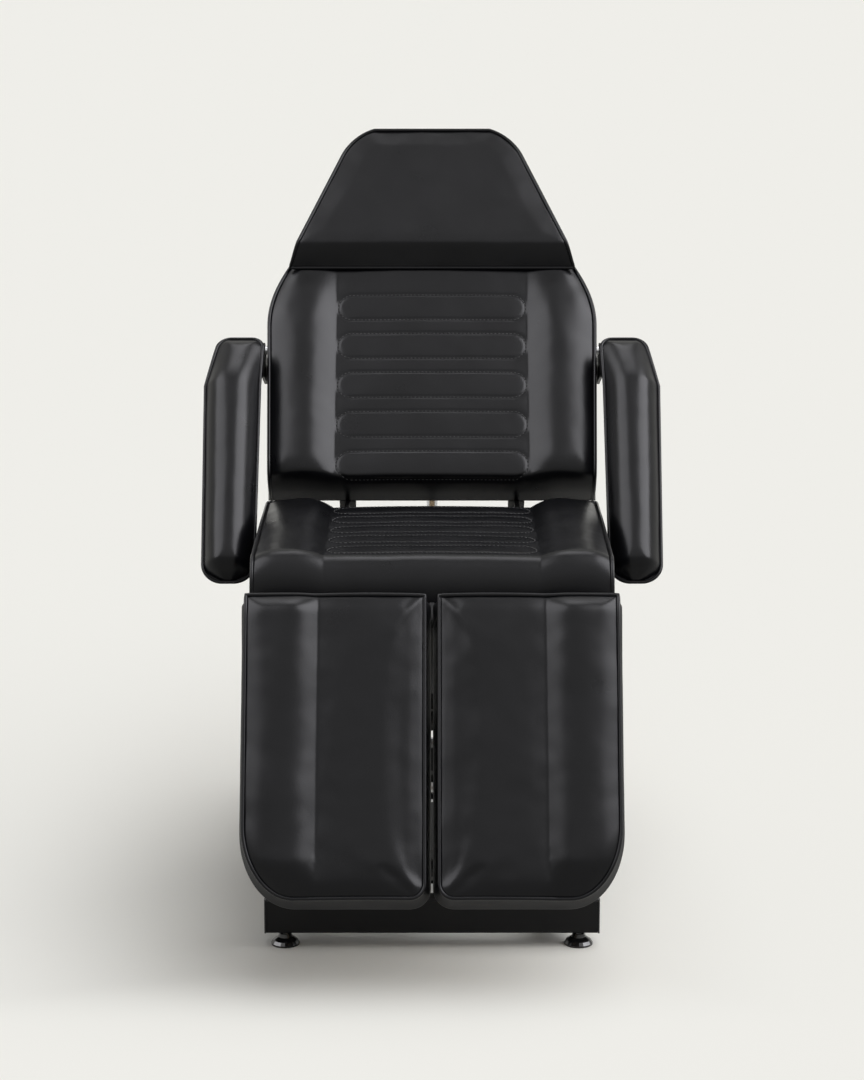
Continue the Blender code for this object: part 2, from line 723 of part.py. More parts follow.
def build_seat_frame(axis, shift):
    tube_z = (SEAT_FRAME_LOW, SEAT_FRAME_TOP)
    front = SEAT_FRAME_FRONT
    rear = SEAT_FRAME_BACK_Y
    solids = []
    for y in (front, rear - SEAT_TUBE):
        solids.append(tube((-SEAT_FRAME_HALF, SEAT_FRAME_HALF), (y, y + SEAT_TUBE), tube_z))
    inset = TUBE_CORNER
    for x in (SEAT_FRAME_HALF - SEAT_TUBE / 2 - WELD, CARRIAGE_RAIL_X):
        for side in (-1, 1):
            across = (side * x - SEAT_TUBE / 2, side * x + SEAT_TUBE / 2)
            solids.append(tube(across, (front + inset, rear - inset), (tube_z[0] + WELD, tube_z[1] - WELD)))
    holes = []
    neck_radius = SEAT_TUBE / 3
    low_z = SEAT_FRAME_LOW + SEAT_TUBE / 2
    eye = (LEG_PIVOT.y, LEG_PIVOT.z, LEG_EYE)
    throat = (front - neck_radius, low_z, neck_radius)
    neck = (front + SEAT_TUBE / 2, low_z, neck_radius)
    lug_spans = [(-LEG_LUG_THICK / 2, LEG_LUG_THICK / 2)]
    for inner in leg_lug_places():
        lug_spans += [(inner, inner + LEG_LUG_THICK), (-inner - LEG_LUG_THICK, -inner)]
    for low_x, high_x in lug_spans[1:]:
        solids += chain([neck, throat, eye], low_x, high_x)
    raised = (LEG_PIVOT.y + LEG_EYE, SEAT_FRAME_TOP + SEAT_BOARD + LEG_EYE / 2, LEG_EYE / 2)
    solids += chain([neck, throat, eye, raised], *lug_spans[0])
    reach = SEAT_FRAME_HALF + SEAT_TUBE
    holes.append(bore(LEG_AXLE, (-reach, reach), LEG_PIVOT.y, LEG_PIVOT.z))
    for side in (-1, 1):
        inner = BACK_TUBE_X + HINGE_PLATE / 2 + SIDE_GAP
        corner = (BACK_PIVOT.y, low_z, HINGE_EYE * 0.8)
        behind = (rear - SEAT_TUBE / 2, low_z, HINGE_EYE * 0.8)
        upright = (BACK_PIVOT.y, BACK_PIVOT.z, HINGE_EYE)
        solids += chain([behind, corner, upright], side * inner, side * (inner + HINGE_PLATE))
    holes.append(bore(HINGE_PIN, (-reach, reach), BACK_PIVOT.y, BACK_PIVOT.z))
    piece("seat_frame", solids, POWDER_COAT, axis, holes, shift)
    outermost = leg_lug_places()[-1] + LEG_LUG_THICK
    build_axle("leg_axle", axis, LEG_PIVOT.y, LEG_PIVOT.z, LEG_AXLE, outermost, shift)
    for side, hand in ((-1, "left"), (1, "right")):
        span = HINGE_PLATE + SIDE_GAP / 2
        middle = side * (BACK_TUBE_X + (SIDE_GAP + HINGE_PLATE) / 2)
        centred = shift - Vector((middle, 0, 0))
        build_axle(f"{hand}_back_hinge_pin", axis, BACK_PIVOT.y, BACK_PIVOT.z, HINGE_PIN, span, centred)


def seat_top(x, y, share):
    """Height of the seat's cover over its base, at a share of the front's rise."""
    roll = side_bolster(abs(x), PANEL_HALF, BOLSTER_RAMP, SEAT_HALF, SEAT_BOLSTER)
    sewn = channels(x, y, SEAT_CHANNEL_FIRST, SEAT_CHANNEL_PITCH)
    fall = edge_fall(min(SEAT_HALF - abs(x), SEAT_LENGTH - y))
    return SEAT_BASE + share * (SEAT_FOAM + roll + sewn - fall)


def build_seat(axis, shift):
    edge = SEAT_HALF - SEAT_BOARD_INSET
    corners = rounded_box(-edge, edge, SEAT_BOARD_INSET, SEAT_LENGTH - SEAT_BOARD_INSET, EDGE_ROUND)
    low = SEAT_FRAME_TOP + GAP
    piece("seat_board", [board(corners, low, low + SEAT_BOARD)], BIRCH, axis, offset=shift)

    nose = SEAT_NOSE
    stations = []
    for k in range(7):
        turn = math.radians(90 * k / 6)
        share = SEAT_NOSE_LIP + (1 - SEAT_NOSE_LIP) * math.sin(turn) ** SEAT_NOSE_FULLNESS
        stations.append((nose * (1 - math.cos(turn)) + GAP * k, share))
    for y in channel_rows(SEAT_CHANNEL_FIRST, SEAT_CHANNEL_PITCH):
        if nose + GROOVE_WIDE < y < SEAT_LENGTH - EDGE_ROUND / 2:
            stations.append((y, 1.0))
    for inward in (EDGE_ROUND / 3, 0):
        stations.append((SEAT_LENGTH - inward, 1.0))
    inner = CHANNEL_HALF - CHANNEL_HIGH / 2
    crest = PANEL_HALF + BOLSTER_RAMP
    columns = [0, inner, CHANNEL_HALF, PANEL_HALF, PANEL_HALF + BOLSTER_RAMP / 2, crest]
    columns += [(crest + SEAT_HALF) / 2, SEAT_HALF - EDGE_ROUND / 3, SEAT_HALF]
    rows = [[(x, y, seat_top(x, y, share)) for x in symmetric(columns)] for y, share in stations]
    solid = pad(rows, SEAT_BASE, BOXING_FLARE)
    piece("seat_cushion", [solid], FAUX_LEATHER, axis, offset=shift)


def rounded_box(x0, x1, y0, y1, radius, arc_points=5):
    """An outline with round corners, anticlockwise."""
    points = []
    corners = ((x1, y0, -90), (x1, y1, 0), (x0, y1, 90), (x0, y0, 180))
    for x, y, start in corners:
        cx = x - radius if x == x1 else x + radius
        cy = y - radius if y == y1 else y + radius
        for k in range(arc_points):
            turn = math.radians(start + 90 * k / (arc_points - 1))
            points.append((cx + radius * math.cos(turn), cy + radius * math.sin(turn)))
    return points


def build_control(axis, shift):
    """The control unit under the seat board, with its mains inlet and handset socket."""
    low = SEAT_FRAME_TOP - CONTROL_HIGH
    rear = CONTROL_FRONT + CONTROL_LONG
    half = CONTROL_WIDE / 2
    outline = rounded_box(-half, half, CONTROL_FRONT, rear, CONTROL_HIGH / 5, arc_points=4)
    piece("control_box", [board(outline, low, SEAT_FRAME_TOP - GAP)], PLASTIC, axis, offset=shift)
    middle = low + CONTROL_HIGH / 2
    face = rear + GAP
    inlet_x = -half / 2
    x = (inlet_x - INLET_WIDE / 2, inlet_x + INLET_WIDE / 2)
    z = (middle - INLET_HIGH / 2, middle + INLET_HIGH / 2)
    recess_x = (x[0] + TUBE_WALL, x[1] - TUBE_WALL)
    recess_z = (z[0] + TUBE_WALL, z[1] - TUBE_WALL)
    recess = block(recess_x, (face + INLET_DEEP / 3, face + 2 * INLET_DEEP), recess_z)
    piece("mains_inlet", [block(x, (face, face + INLET_DEEP), z)], PLASTIC, axis, [recess], shift)
    socket_place = (half / 2, face, middle)
    ring = [(0, SOCKET_RADIUS), (INLET_DEEP, SOCKET_RADIUS)]
    inner_radius = SOCKET_RADIUS - TUBE_WALL
    hollow = [(INLET_DEEP / 3, inner_radius), (2 * INLET_DEEP, inner_radius)]
    solid = turned(ring, socket_place, "Y")
    piece("handset_socket", [solid], PLASTIC, axis, [turned(hollow, socket_place, "Y")], shift)


# Back and head pillow

def back_half(along):
    """Half width of the back at a distance from its lower end: straight sides, round shoulders,
    a tapered head with round upper corners."""
    if along <= SHOULDER_START:
        return BACK_HALF + BACK_WIDENING * along / SHOULDER_START
    shoulder = BACK_HALF + BACK_WIDENING
    if along <= SHOULDER_END:
        t = (along - SHOULDER_START) / (SHOULDER_END - SHOULDER_START)
        return shoulder + (HEAD_HALF - shoulder) * t * t
    straight = HEAD_HALF - HEAD_TAPER * (along - SHOULDER_END)
    into_corner = along - (BACK_LENGTH - HEAD_CORNER)
    if into_corner <= 0:
        return straight
    reach = min(into_corner, HEAD_CORNER) / HEAD_CORNER
    return straight - HEAD_CORNER * (1 - math.sqrt(1 - reach * reach)) * (1 - HEAD_TAPER / 2)


def back_stations(start, end):
    """Stations over the shoulders and head, closer together round the upper corners."""
    stations = []
    steps = 5
    for k in range(steps):
        stations.append(start + (SHOULDER_END - start) * k / steps)
    corner = BACK_LENGTH - HEAD_CORNER
    for k in range(4):
        stations.append(SHOULDER_END + (corner - SHOULDER_END) * k / 4)
    for k in range(6):
        stations.append(corner + (end - corner) * math.sin(math.radians(90 * k / 5)))
    return stations


def back_top(x, along):
    edge = back_half(along)
    roll = side_bolster(abs(x), PANEL_HALF, BOLSTER_RAMP, edge, BACK_BOLSTER)
    roll *= 1 - smooth(SHOULDER_START, SHOULDER_END - EDGE_DROP, along)
    roll *= smooth(-EDGE_ROUND / 2, EDGE_ROUND, along)
    sewn = channels(x, along, BACK_CHANNEL_FIRST, BACK_CHANNEL_PITCH)
    covered = 1 - smooth(PILLOW_START - CHANNEL_HIGH, PILLOW_START - EDGE_DROP, along)
    fall = edge_fall(min(edge - abs(x), along + EDGE_ROUND / 4)) * covered
    return BACK_FACE + roll + sewn * covered - fall


def build_back(axis):
    edge = [(along, back_half(along) - BACK_BOARD_INSET) for along in back_stations(0, BACK_LENGTH)]
    low_end = BACK_START + BACK_BOARD_INSET
    scale = (BACK_LENGTH - 2 * BACK_BOARD_INSET) / BACK_LENGTH
    right = [(half, low_end + along * scale) for along, half in edge]
    outline = right + [(-x, y) for x, y in right[::-1]]
    solid = board(outline, -BACK_BOARD_DROP, -BACK_BOARD_DROP + BACK_BOARD)
    piece("back_board", [solid], BIRCH, axis)

    stations = [0, EDGE_ROUND / 4]
    sewn = channel_rows(BACK_CHANNEL_FIRST, BACK_CHANNEL_PITCH)
    stations += [along for along in sewn if along > EDGE_ROUND / 3]
    stations += back_stations(stations[-1] + GROOVE_WIDE, BACK_LENGTH)
    inner = CHANNEL_HALF - CHANNEL_HIGH / 2
    crest = PANEL_HALF + BOLSTER_RAMP
    columns = [0, inner, CHANNEL_HALF, PANEL_HALF, crest]
    columns += [(crest + BACK_HALF) / 2, BACK_HALF - EDGE_ROUND / 3, BACK_HALF]
    shares = symmetric([x / BACK_HALF for x in columns])
    rows = []
    for along in stations:
        half = back_half(along)
        rows.append([(u * half, BACK_START + along, back_top(u * half, along)) for u in shares])
    piece("back_cushion", [pad(rows, BACK_BASE, BACK_FLARE)], FAUX_LEATHER, axis)
    build_pillow(axis)
    build_back_frame(axis)


def pillow_top(x, along):
    """The pillow stands proudest at its lower edge and thins towards the crown of the head."""
    rise = (along - PILLOW_START) / PILLOW_BEVEL
    face = PILLOW_LOW + (PILLOW_TOP - PILLOW_LOW) * (along - PILLOW_START) / (BACK_LENGTH - PILLOW_START)
    lower = min(1.0, PILLOW_LIP + (1 - PILLOW_LIP) * rise)
    inward = min(back_half(along) - abs(x), BACK_LENGTH - along)
    return BACK_FACE + 2 * GAP + face * lower - edge_fall(inward) * min(1.0, lower)


def build_pillow(axis):
    stations = [PILLOW_START + PILLOW_BEVEL * share for share in (0, 0.45, 0.85, 1.15)]
    later = back_stations(SHOULDER_END, BACK_LENGTH - PILLOW_INSET)
    stations += [along for along in later if along > stations[-1] + EDGE_ROUND / 3]
    shares = symmetric([0, 0.3, 0.6, 0.8, 0.92, 1.0])
    rows = []
    for along in stations:
        half = back_half(along) - PILLOW_INSET
        rows.append([(u * half, BACK_START + along, pillow_top(u * half, along)) for u in shares])
    base = BACK_FACE + GAP
    piece("head_pillow", [pad(rows, base, PILLOW_INSET)], FAUX_LEATHER, axis)


def build_back_frame(axis):
    half_tube = BACK_TUBE / 2
    tube_z = (BACK_TUBE_TOP - BACK_TUBE, BACK_TUBE_TOP)
    low_y = BACK_START - GAP
    solids = []
    for side in (-1, 1):
        x = (side * BACK_TUBE_X - half_tube, side * BACK_TUBE_X + half_tube)
        solids.append(tube(x, (low_y, BACK_FRAME_END), tube_z))
    inner_z = (tube_z[0] + WELD, tube_z[1] - WELD)
    for y in (BACK_LUG_Y, ARMREST_PIVOT_Y, BACK_FRAME_END - BACK_TUBE):
        reach = BACK_HALF - BACK_TUBE if y == ARMREST_PIVOT_Y else BACK_TUBE_X
        solids.append(tube((-reach, reach), (y - half_tube, y + half_tube), inner_z))
    middle_z = BACK_TUBE_TOP - half_tube
    for side in (-1, 1):
        outline = hull(
            [
                (0, 0, HINGE_EYE),
                (low_y + half_tube / 4, middle_z + half_tube / 2, half_tube / 4),
                (low_y + half_tube / 4, middle_z - half_tube / 2, half_tube / 4),
            ]
        )
        inner = side * BACK_TUBE_X - HINGE_PLATE / 2
        solids.append(plate(outline, inner, inner + HINGE_PLATE))
    lug = hull([(BACK_LUG_Y, -BACK_LUG_DROP, LUG_EYE), (BACK_LUG_Y, middle_z, LUG_EYE)])
    solids.append(plate(lug, -LUG_HALF, LUG_HALF))
    holes = [bore(ANCHOR_PIN, (-LUG_EYE, LUG_EYE), BACK_LUG_Y, -BACK_LUG_DROP)]
    holes.append(bore(HINGE_PIN, (-2 * BACK_TUBE_X, 2 * BACK_TUBE_X), 0, 0))
    piece("back_frame", solids, POWDER_COAT, axis, holes)


# Armrests

def build_armrest(hand, side, back_axis):
    bracket_out = BRACKET_X + BRACKET_THICK
    strap_in = bracket_out + SIDE_GAP
    strap_out = strap_in + ARMREST_STRAP
    tab_top = BACK_TUBE_TOP - BACK_TUBE - GAP
    tail_z = tab_top - BRACKET_THICK
    stop_radius = ARMREST_BOLT * 0.75
    strap_half = ARMREST_STRAP_HALF
    bend_z = ARMREST_BEND_Z
    stop_back = 3.4 * BRACKET_EYE
    stop_y = ARMREST_PIVOT_Y - stop_back
    strap_z = ARMREST_PIVOT_Z + ARMREST_SLOPE * stop_back
    stop_drop = (strap_half + stop_radius + 2 * GAP) / math.cos(math.atan(ARMREST_SLOPE))
    stop_z = strap_z - stop_drop

    upright = hull(
        [
            (ARMREST_PIVOT_Y, ARMREST_PIVOT_Z, BRACKET_EYE),
            (stop_y, stop_z, 2 * stop_radius),
            (ARMREST_PIVOT_Y - BRACKET_TAIL / 3, tail_z + BRACKET_THICK, BRACKET_THICK),
            (ARMREST_PIVOT_Y + BRACKET_TAIL / 4, tail_z + BRACKET_THICK, BRACKET_THICK),
        ]
    )
    tail_y = (ARMREST_PIVOT_Y - BRACKET_TAIL / 3, ARMREST_PIVOT_Y + BRACKET_TAIL / 4)
    tail_x = sorted((side * (BACK_TUBE_X + BACK_TUBE), side * (bracket_out - WELD)))
    stop_x = sorted((side * (BRACKET_X + WELD), side * strap_out))
    stop = turned([(stop_x[0], stop_radius), (stop_x[1], stop_radius)], (0, stop_y, stop_z))
    solids = [
        plate(upright, side * BRACKET_X, side * bracket_out),
        block(tail_x, tail_y, (tail_z, tab_top)),
        stop,
    ]
    reach = (side * BRACKET_X / 2, side * 2 * BRACKET_X)
    through = bore(ARMREST_BOLT, sorted(reach), ARMREST_PIVOT_Y, ARMREST_PIVOT_Z)
    piece(f"{hand}_arm_bracket", solids, POWDER_COAT, back_axis, [through])

    span = (strap_out - BRACKET_X) / 2
    bolt_centre = Vector((-side * (strap_out + BRACKET_X) / 2, 0, 0))
    name = f"{hand}_armrest_bolt"
    build_axle(name, back_axis, ARMREST_PIVOT_Y, ARMREST_PIVOT_Z, ARMREST_BOLT, span, bolt_centre)

    shift = Vector((0, ARMREST_PIVOT_Y, ARMREST_PIVOT_Z))
    axis = pivot(f"{hand}_armrest_axis", shift, parent=back_axis)
    run = [(ARMREST_PIVOT_Y, ARMREST_PIVOT_Z), (ARMREST_BEND, bend_z), (ARMREST_PLATE_FRONT, bend_z)]
    strap = chain([(y, z, strap_half) for y, z in run], side * strap_in, side * strap_out)
    plate_y = (ARMREST_PLATE_FRONT, ARMREST_BEND - ARMREST_THICK / 3)
    plate_x = sorted((side * (strap_in + WELD), side * (strap_in + ARMREST_PLATE_WIDE)))
    strap.append(block(plate_x, plate_y, (ARMREST_PLATE_Z, ARMREST_PLATE_Z + ARMREST_PLATE)))
    eye = bore(ARMREST_BOLT, sorted(reach), ARMREST_PIVOT_Y, ARMREST_PIVOT_Z)
    piece(f"{hand}_armrest_bar", strap, POWDER_COAT, axis, [eye], shift)
    piece(f"{hand}_armrest_pad", [armrest_solid(side)], FAUX_LEATHER, axis, offset=shift)


def armrest_line(along):
    """Height of the armrest's top: level, then bent down towards the back's side."""
    past = max(0.0, along - ARMREST_BEND)
    return ARMREST_TOP - ARMREST_DROP * past / (ARMREST_REAR - ARMREST_BEND)


def armrest_edges(along):
    """Inner and outer edge of an armrest pad before its ends are rounded."""
    spread = min(1.0, (along - ARMREST_FRONT) / (ARMREST_BEND - ARMREST_FRONT))
    past = max(0.0, along - ARMREST_BEND) / (ARMREST_REAR - ARMREST_BEND)
    inner = ARMREST_INNER - ARMREST_INNER_TAPER * past
    outer = ARMREST_INNER + ARMREST_WIDE + ARMREST_WIDENING * spread - ARMREST_OUTER_TAPER * past
    return inner, outer


def armrest_solid(side):
    """A padded bar with a rounded oblong section, swept along the armrest's line. It widens towards
    its bend, closes in on the back past it, and its two ends are round."""
    front_round = ARMREST_FRONT_ROUND
    rear_round = ARMREST_REAR_ROUND
    stations = []
    for k in range(5):
        turn = math.radians(90 * k / 4)
        along = ARMREST_FRONT + front_round * (1 - math.cos(turn))
        stations.append((along, front_round * (1 - math.sin(turn))))
    body = [ARMREST_FRONT + 2 * front_round, ARMREST_BEND / 3, ARMREST_BEND - rear_round, ARMREST_BEND]
    stations += [(along, 0.0) for along in body]
    for k in range(5):
        turn = math.radians(90 * k / 4)
        along = ARMREST_REAR - rear_round * (1 - math.sin(turn))
        stations.append((along, rear_round * (1 - math.cos(turn))))
    sides = 20
    half_thick = ARMREST_THICK / 2
    bm = bmesh.new()
    rings = []
    for along, shrink in stations:
        inner, outer = armrest_edges(along)
        half_wide = (outer - inner) / 2
        thin = ARMREST_END_THIN * half_thick * shrink / front_round
        middle = armrest_line(along) - half_thick
        ring = []
        for k in range(sides):
            turn = 2 * math.pi * k / sides
            c = math.cos(turn)
            s = math.sin(turn)
            x = math.copysign(abs(c) ** ARMREST_SIDE_POWER, c) * (half_wide - shrink)
            z = math.copysign(abs(s) ** ARMREST_FACE_POWER, s) * (half_thick - thin)
            ring.append(bm.verts.new((side * (inner + half_wide) + x, along, middle + z)))
        rings.append(ring)
    for low, high in zip(rings, rings[1:]):
        for k in range(sides):
            n = (k + 1) % sides
            bm.faces.new((low[k], low[n], high[n], high[k]))
    bm.faces.new(rings[0][::-1])
    bm.faces.new(rings[-1])
    return bm


# Leg rests

def leg_edges(along):
    """Inner and outer edge of a leg pad at a distance from its upper end. It narrows slightly towards
    the foot end, where its outer corner is a long quarter ellipse."""
    inner = LEG_INNER
    outer = LEG_OUTER - LEG_WIDER * along / LEG_LENGTH
    past = along - (LEG_LENGTH - LEG_OUTER_CORNER_LONG)
    if past > 0:
        reach = min(1.0, past / LEG_OUTER_CORNER_LONG)
        outer -= LEG_OUTER_CORNER * (1 - math.sqrt(1 - reach * reach))
    past = along - (LEG_LENGTH - LEG_INNER_CORNER)
    if past > 0:
        inner += LEG_INNER_CORNER - math.sqrt(max(0.0, LEG_INNER_CORNER**2 - past**2))
    return inner, outer


def leg_stations():
    straight = LEG_LENGTH - LEG_OUTER_CORNER_LONG
    stations = [0, EDGE_ROUND / 3, EDGE_ROUND]
    stations += [straight * share for share in (0.2, 0.4, 0.6, 0.8)]
    for k in range(9):
        stations.append(straight + LEG_OUTER_CORNER_LONG * math.sin(math.radians(90 * k / 8)))
    return stations


def leg_top(x, along):
    inner, outer = leg_edges(along)
    roll = side_bolster(x, LEG_BOLSTER_X, LEG_BOLSTER_RAMP, LEG_OUTER, LEG_BOLSTER)
    roll *= 1 - smooth(LEG_LENGTH - LEG_OUTER_CORNER * 0.75, LEG_LENGTH, along)
    fall = edge_fall(min(x - inner, outer - x, along, LEG_LENGTH - along))
    return LEG_BASE + LEG_FOAM + roll - fall


def build_leg(hand, side):
    axis = pivot(f"{hand}_leg_axis", LEG_PIVOT, LEG_ANGLE, CHAIR_ROOT)
    columns = [LEG_INNER, LEG_INNER + EDGE_ROUND / 3, LEG_INNER + EDGE_ROUND]
    columns += [(LEG_INNER + LEG_BOLSTER_X) / 2, LEG_BOLSTER_X]
    ramp = LEG_BOLSTER_RAMP
    columns += [LEG_BOLSTER_X + ramp / 2, LEG_BOLSTER_X + ramp, (LEG_BOLSTER_X + ramp + LEG_OUTER) / 2]
    columns += [LEG_OUTER - EDGE_ROUND / 2, LEG_OUTER - EDGE_ROUND / 6, LEG_OUTER]
    shares = [(x - LEG_INNER) / (LEG_OUTER - LEG_INNER) for x in columns]
    rows = []
    for along in leg_stations()[::-1]:
        inner, outer = leg_edges(along)
        row = []
        for u in shares:
            x = inner + u * (outer - inner)
            row.append((side * x, LEG_START - along, leg_top(x, along)))
        rows.append(row if side > 0 else row[::-1])
    solid = pad(rows, LEG_BASE, BOXING_FLARE, front_flare=BOXING_FLARE)
    keep_inner_edge(solid, side)
    piece(f"{hand}_leg_cushion", [solid], FAUX_LEATHER, axis)

    low_edge = []
    inset = LEG_BOARD_INSET
    for along in leg_stations():
        shrunk = along * (LEG_LENGTH - 2 * inset) / LEG_LENGTH
        low_edge.append((LEG_START - inset - shrunk, *leg_edges(along)))
    outline = [(side * (inner + inset), y) for y, inner, _ in low_edge]
    outline += [(side * (outer - inset), y) for y, _, outer in low_edge[::-1]]
    solid = board(outline, LEG_BOARD_RISE, LEG_BOARD_RISE + LEG_BOARD)
    piece(f"{hand}_leg_board", [solid], BIRCH, axis)
    build_leg_frame(hand, side, axis)


def keep_inner_edge(bm, side):
    """The boxing between the two leg pads flares less, so that the pads keep apart."""
    limit = LEG_INNER - LEG_INNER_FLARE
    for vertex in bm.verts:
        vertex.co.x = side * max(limit, side * vertex.co.x)


def build_leg_frame(hand, side, axis):
    half_tube = LEG_TUBE / 2
    tube_z = (LEG_BOARD_RISE - GAP - LEG_TUBE, LEG_BOARD_RISE - GAP)
    foot_end = LEG_START - LEG_LENGTH + LEG_OUTER_CORNER
    solids = []
    for x in (LEG_TUBE_INNER_X, LEG_TUBE_OUTER_X):
        across = (side * x - half_tube, side * x + half_tube)
        solids.append(tube(across, (foot_end, -LEG_EYE / 2), tube_z))
        eye = hull([(0, 0, LEG_EYE), (-LEG_EYE, 0, LEG_EYE * 0.8)])
        solids.append(plate(eye, across[0] + WELD, across[1] - WELD))
    inner_z = (tube_z[0] + WELD, tube_z[1] - WELD)
    cross_x = sorted((side * LEG_TUBE_INNER_X, side * LEG_TUBE_OUTER_X))
    for y in (-LEG_STRUT_BACK, foot_end + LEG_TUBE):
        solids.append(tube(cross_x, (y - half_tube, y + half_tube), inner_z))
    middle_z = (tube_z[0] + tube_z[1]) / 2
    lug = hull([(-LEG_STRUT_BACK, -LEG_STRUT_DROP, LUG_EYE), (-LEG_STRUT_BACK, middle_z, half_tube * 0.8)])
    centre = side * LEG_STRUT_X
    solids.append(plate(lug, centre - LUG_HALF, centre + LUG_HALF))
    reach = sorted((side * LEG_TUBE_INNER_X / 2, side * 2 * LEG_TUBE_OUTER_X))
    holes = [bore(LEG_AXLE, reach, 0, 0)]
    holes.append(bore(ANCHOR_PIN, (centre - LUG_EYE, centre + LUG_EYE), -LEG_STRUT_BACK, -LEG_STRUT_DROP))
    piece(f"{hand}_leg_frame", solids, POWDER_COAT, axis, holes)


# Actuators and struts

def lift_anchor():
    top = BAR_RAISED + BAR_HIGH
    return Vector((0, BASE_SETBACK + BAR_DEEP + LIFT_ANCHOR_AHEAD, top + LIFT_ANCHOR_RISE))


def crank_place():
    turn = math.radians(ARM_ANGLE)
    y = LOWER_PIVOT_Y - CRANK_RADIUS * math.cos(turn)
    return Vector((0, y, LOWER_PIVOT_Z + CRANK_RADIUS * math.sin(turn)))


def turned_place(centre, turn_x, x, y, z):
    """Where a point of a flat group lies once its empty has turned it about X."""
    a = math.radians(turn_x)
    return centre + Vector((x, y * math.cos(a) - z * math.sin(a), y * math.sin(a) + z * math.cos(a)))


def telescope(name, anchor, target, sizes, looks, motor_side=0, retracts=0.0):
    """A telescopic link from an anchor to a lug: tube and rod on one line, the rod ending in a fork
    that straddles the lug. With a motor, its gearbox carries the tube. The tube's own +Y points
    along the link, and its bore leaves room for the rod to retract."""
    tube_radius, bore_radius, rod_radius, tube_end, hidden = sizes
    span = target - anchor
    length = span.length
    tilt = math.degrees(math.atan2(span.z, span.y))
    axis = pivot(name + "_tube_axis", anchor, tilt, CHAIR_ROOT)
    rod_axis = pivot(name + "_rod_axis", (0, length, 0), parent=axis)
    clevis_half = LUG_EYE / 2
    clevis = plate(hull([(0, 0, LUG_EYE), (GEARBOX_START + GAP, 0, LUG_EYE)]), -clevis_half, clevis_half)
    pin_hole = bore(ANCHOR_PIN, (-2 * LUG_EYE, 2 * LUG_EYE), 0, 0)
    tube_start = GEARBOX_START
    if motor_side:
        gear_y = (GEARBOX_START, GEARBOX_START + GEARBOX_LENGTH)
        gear_x = sorted((-motor_side * MOTOR_RADIUS, motor_side * (MOTOR_OFFSET + MOTOR_RADIUS)))
        gear = block(gear_x, gear_y, (-MOTOR_RADIUS, MOTOR_RADIUS), chamfer=TUBE_CORNER)
        motor_end = gear_y[1] + MOTOR_LENGTH
        profile = [
            (gear_y[1] - TUBE_CORNER, MOTOR_RADIUS - TUBE_CORNER),
            (motor_end - 2 * TUBE_CORNER, MOTOR_RADIUS - TUBE_CORNER),
            (motor_end, MOTOR_RADIUS - 3 * TUBE_CORNER),
        ]
        motor = turned(profile, (motor_side * MOTOR_OFFSET, 0, 0), "Y")
        piece(f"{name}_motor", [gear, clevis, motor], GLOSS_BLACK, axis, [pin_hole])
        tube_start = gear_y[1] + GAP
        clevis = None
    rod_start = length - FORK_DEPTH - LUG_EYE - hidden
    bore_start = max(rod_start - retracts - 4 * SIDE_GAP, tube_start + TUBE_CORNER)
    shell = turned([(tube_start, tube_radius), (tube_end, tube_radius)], (0, 0, 0), "Y")
    hollow = turned([(bore_start, bore_radius), (tube_end + LUG_EYE, bore_radius)], (0, 0, 0), "Y")
    solids = [shell]
    holes = [hollow]
    if clevis:
        solids.append(clevis)
        holes.append(pin_hole)
    piece(f"{name}_tube", solids, looks[0], axis, holes)

    bridge = -FORK_DEPTH
    rod = turned([(rod_start - length, rod_radius), (bridge - LUG_EYE / 3, rod_radius)], (0, 0, 0), "Y")
    cheek_in = LUG_HALF + FORK_GAP
    cheek_out = cheek_in + FORK_CHEEK
    block_y = (bridge - LUG_EYE, bridge)
    solids = [rod, block((-cheek_out + WELD, cheek_out - WELD), block_y, (-LUG_EYE * 0.8, LUG_EYE * 0.8))]
    for side in (-1, 1):
        cheek = hull([(0, 0, LUG_EYE), (bridge - LUG_EYE / 2, 0, LUG_EYE * 0.6)])
        solids.append(plate(cheek, side * cheek_in, side * cheek_out))
        stub_x = sorted((side * (cheek_out - WELD), side * (cheek_out + AXLE_HEAD)))
        solids.append(turned([(stub_x[0], ANCHOR_PIN), (stub_x[1], ANCHOR_PIN)], (0, 0, 0)))
    piece(f"{name}_rod", solids, looks[1], rod_axis)


clear_scene()

FAUX_LEATHER = finish("black_faux_leather", (0.012, 0.012, 0.013), 0.42, 0.0)
POWDER_COAT = finish("black_powder_coat", (0.015, 0.015, 0.016), 0.5, 0.0)
GLOSS_BLACK = finish("gloss_black_moulding", (0.010, 0.010, 0.011), 0.2, 0.0)
PLASTIC = finish("matt_black_plastic", (0.020, 0.020, 0.021), 0.6, 0.0)
STEEL = finish("zinc_plated_steel", (0.62, 0.62, 0.63), 0.28, 1.0)
BIRCH = finish("birch_plywood", (0.45, 0.30, 0.16), 0.6, 0.0)

CHAIR_ROOT = pivot("chair_root", (0, 0, 0))
build_base(CHAIR_ROOT)

front_arms = pivot("front_arm_axis", (0, LOWER_PIVOT_Y, LOWER_PIVOT_Z), -ARM_ANGLE, CHAIR_ROOT)
rear_arms = pivot("rear_arm_axis", (0, LOWER_PIVOT_Y + ARM_SPACING, LOWER_PIVOT_Z), -ARM_ANGLE, CHAIR_ROOT)
build_lift_arms("front_lift_arms", front_arms, CRANK_TUBE, crank=True)
build_lift_arms("rear_lift_arms", rear_arms, REAR_CROSS_TUBE, crank=False)

carriage_axis = pivot("carriage_axis", (0, UPPER_PIVOT_Y, UPPER_PIVOT_Z), parent=CHAIR_ROOT)
build_carriage(carriage_axis)

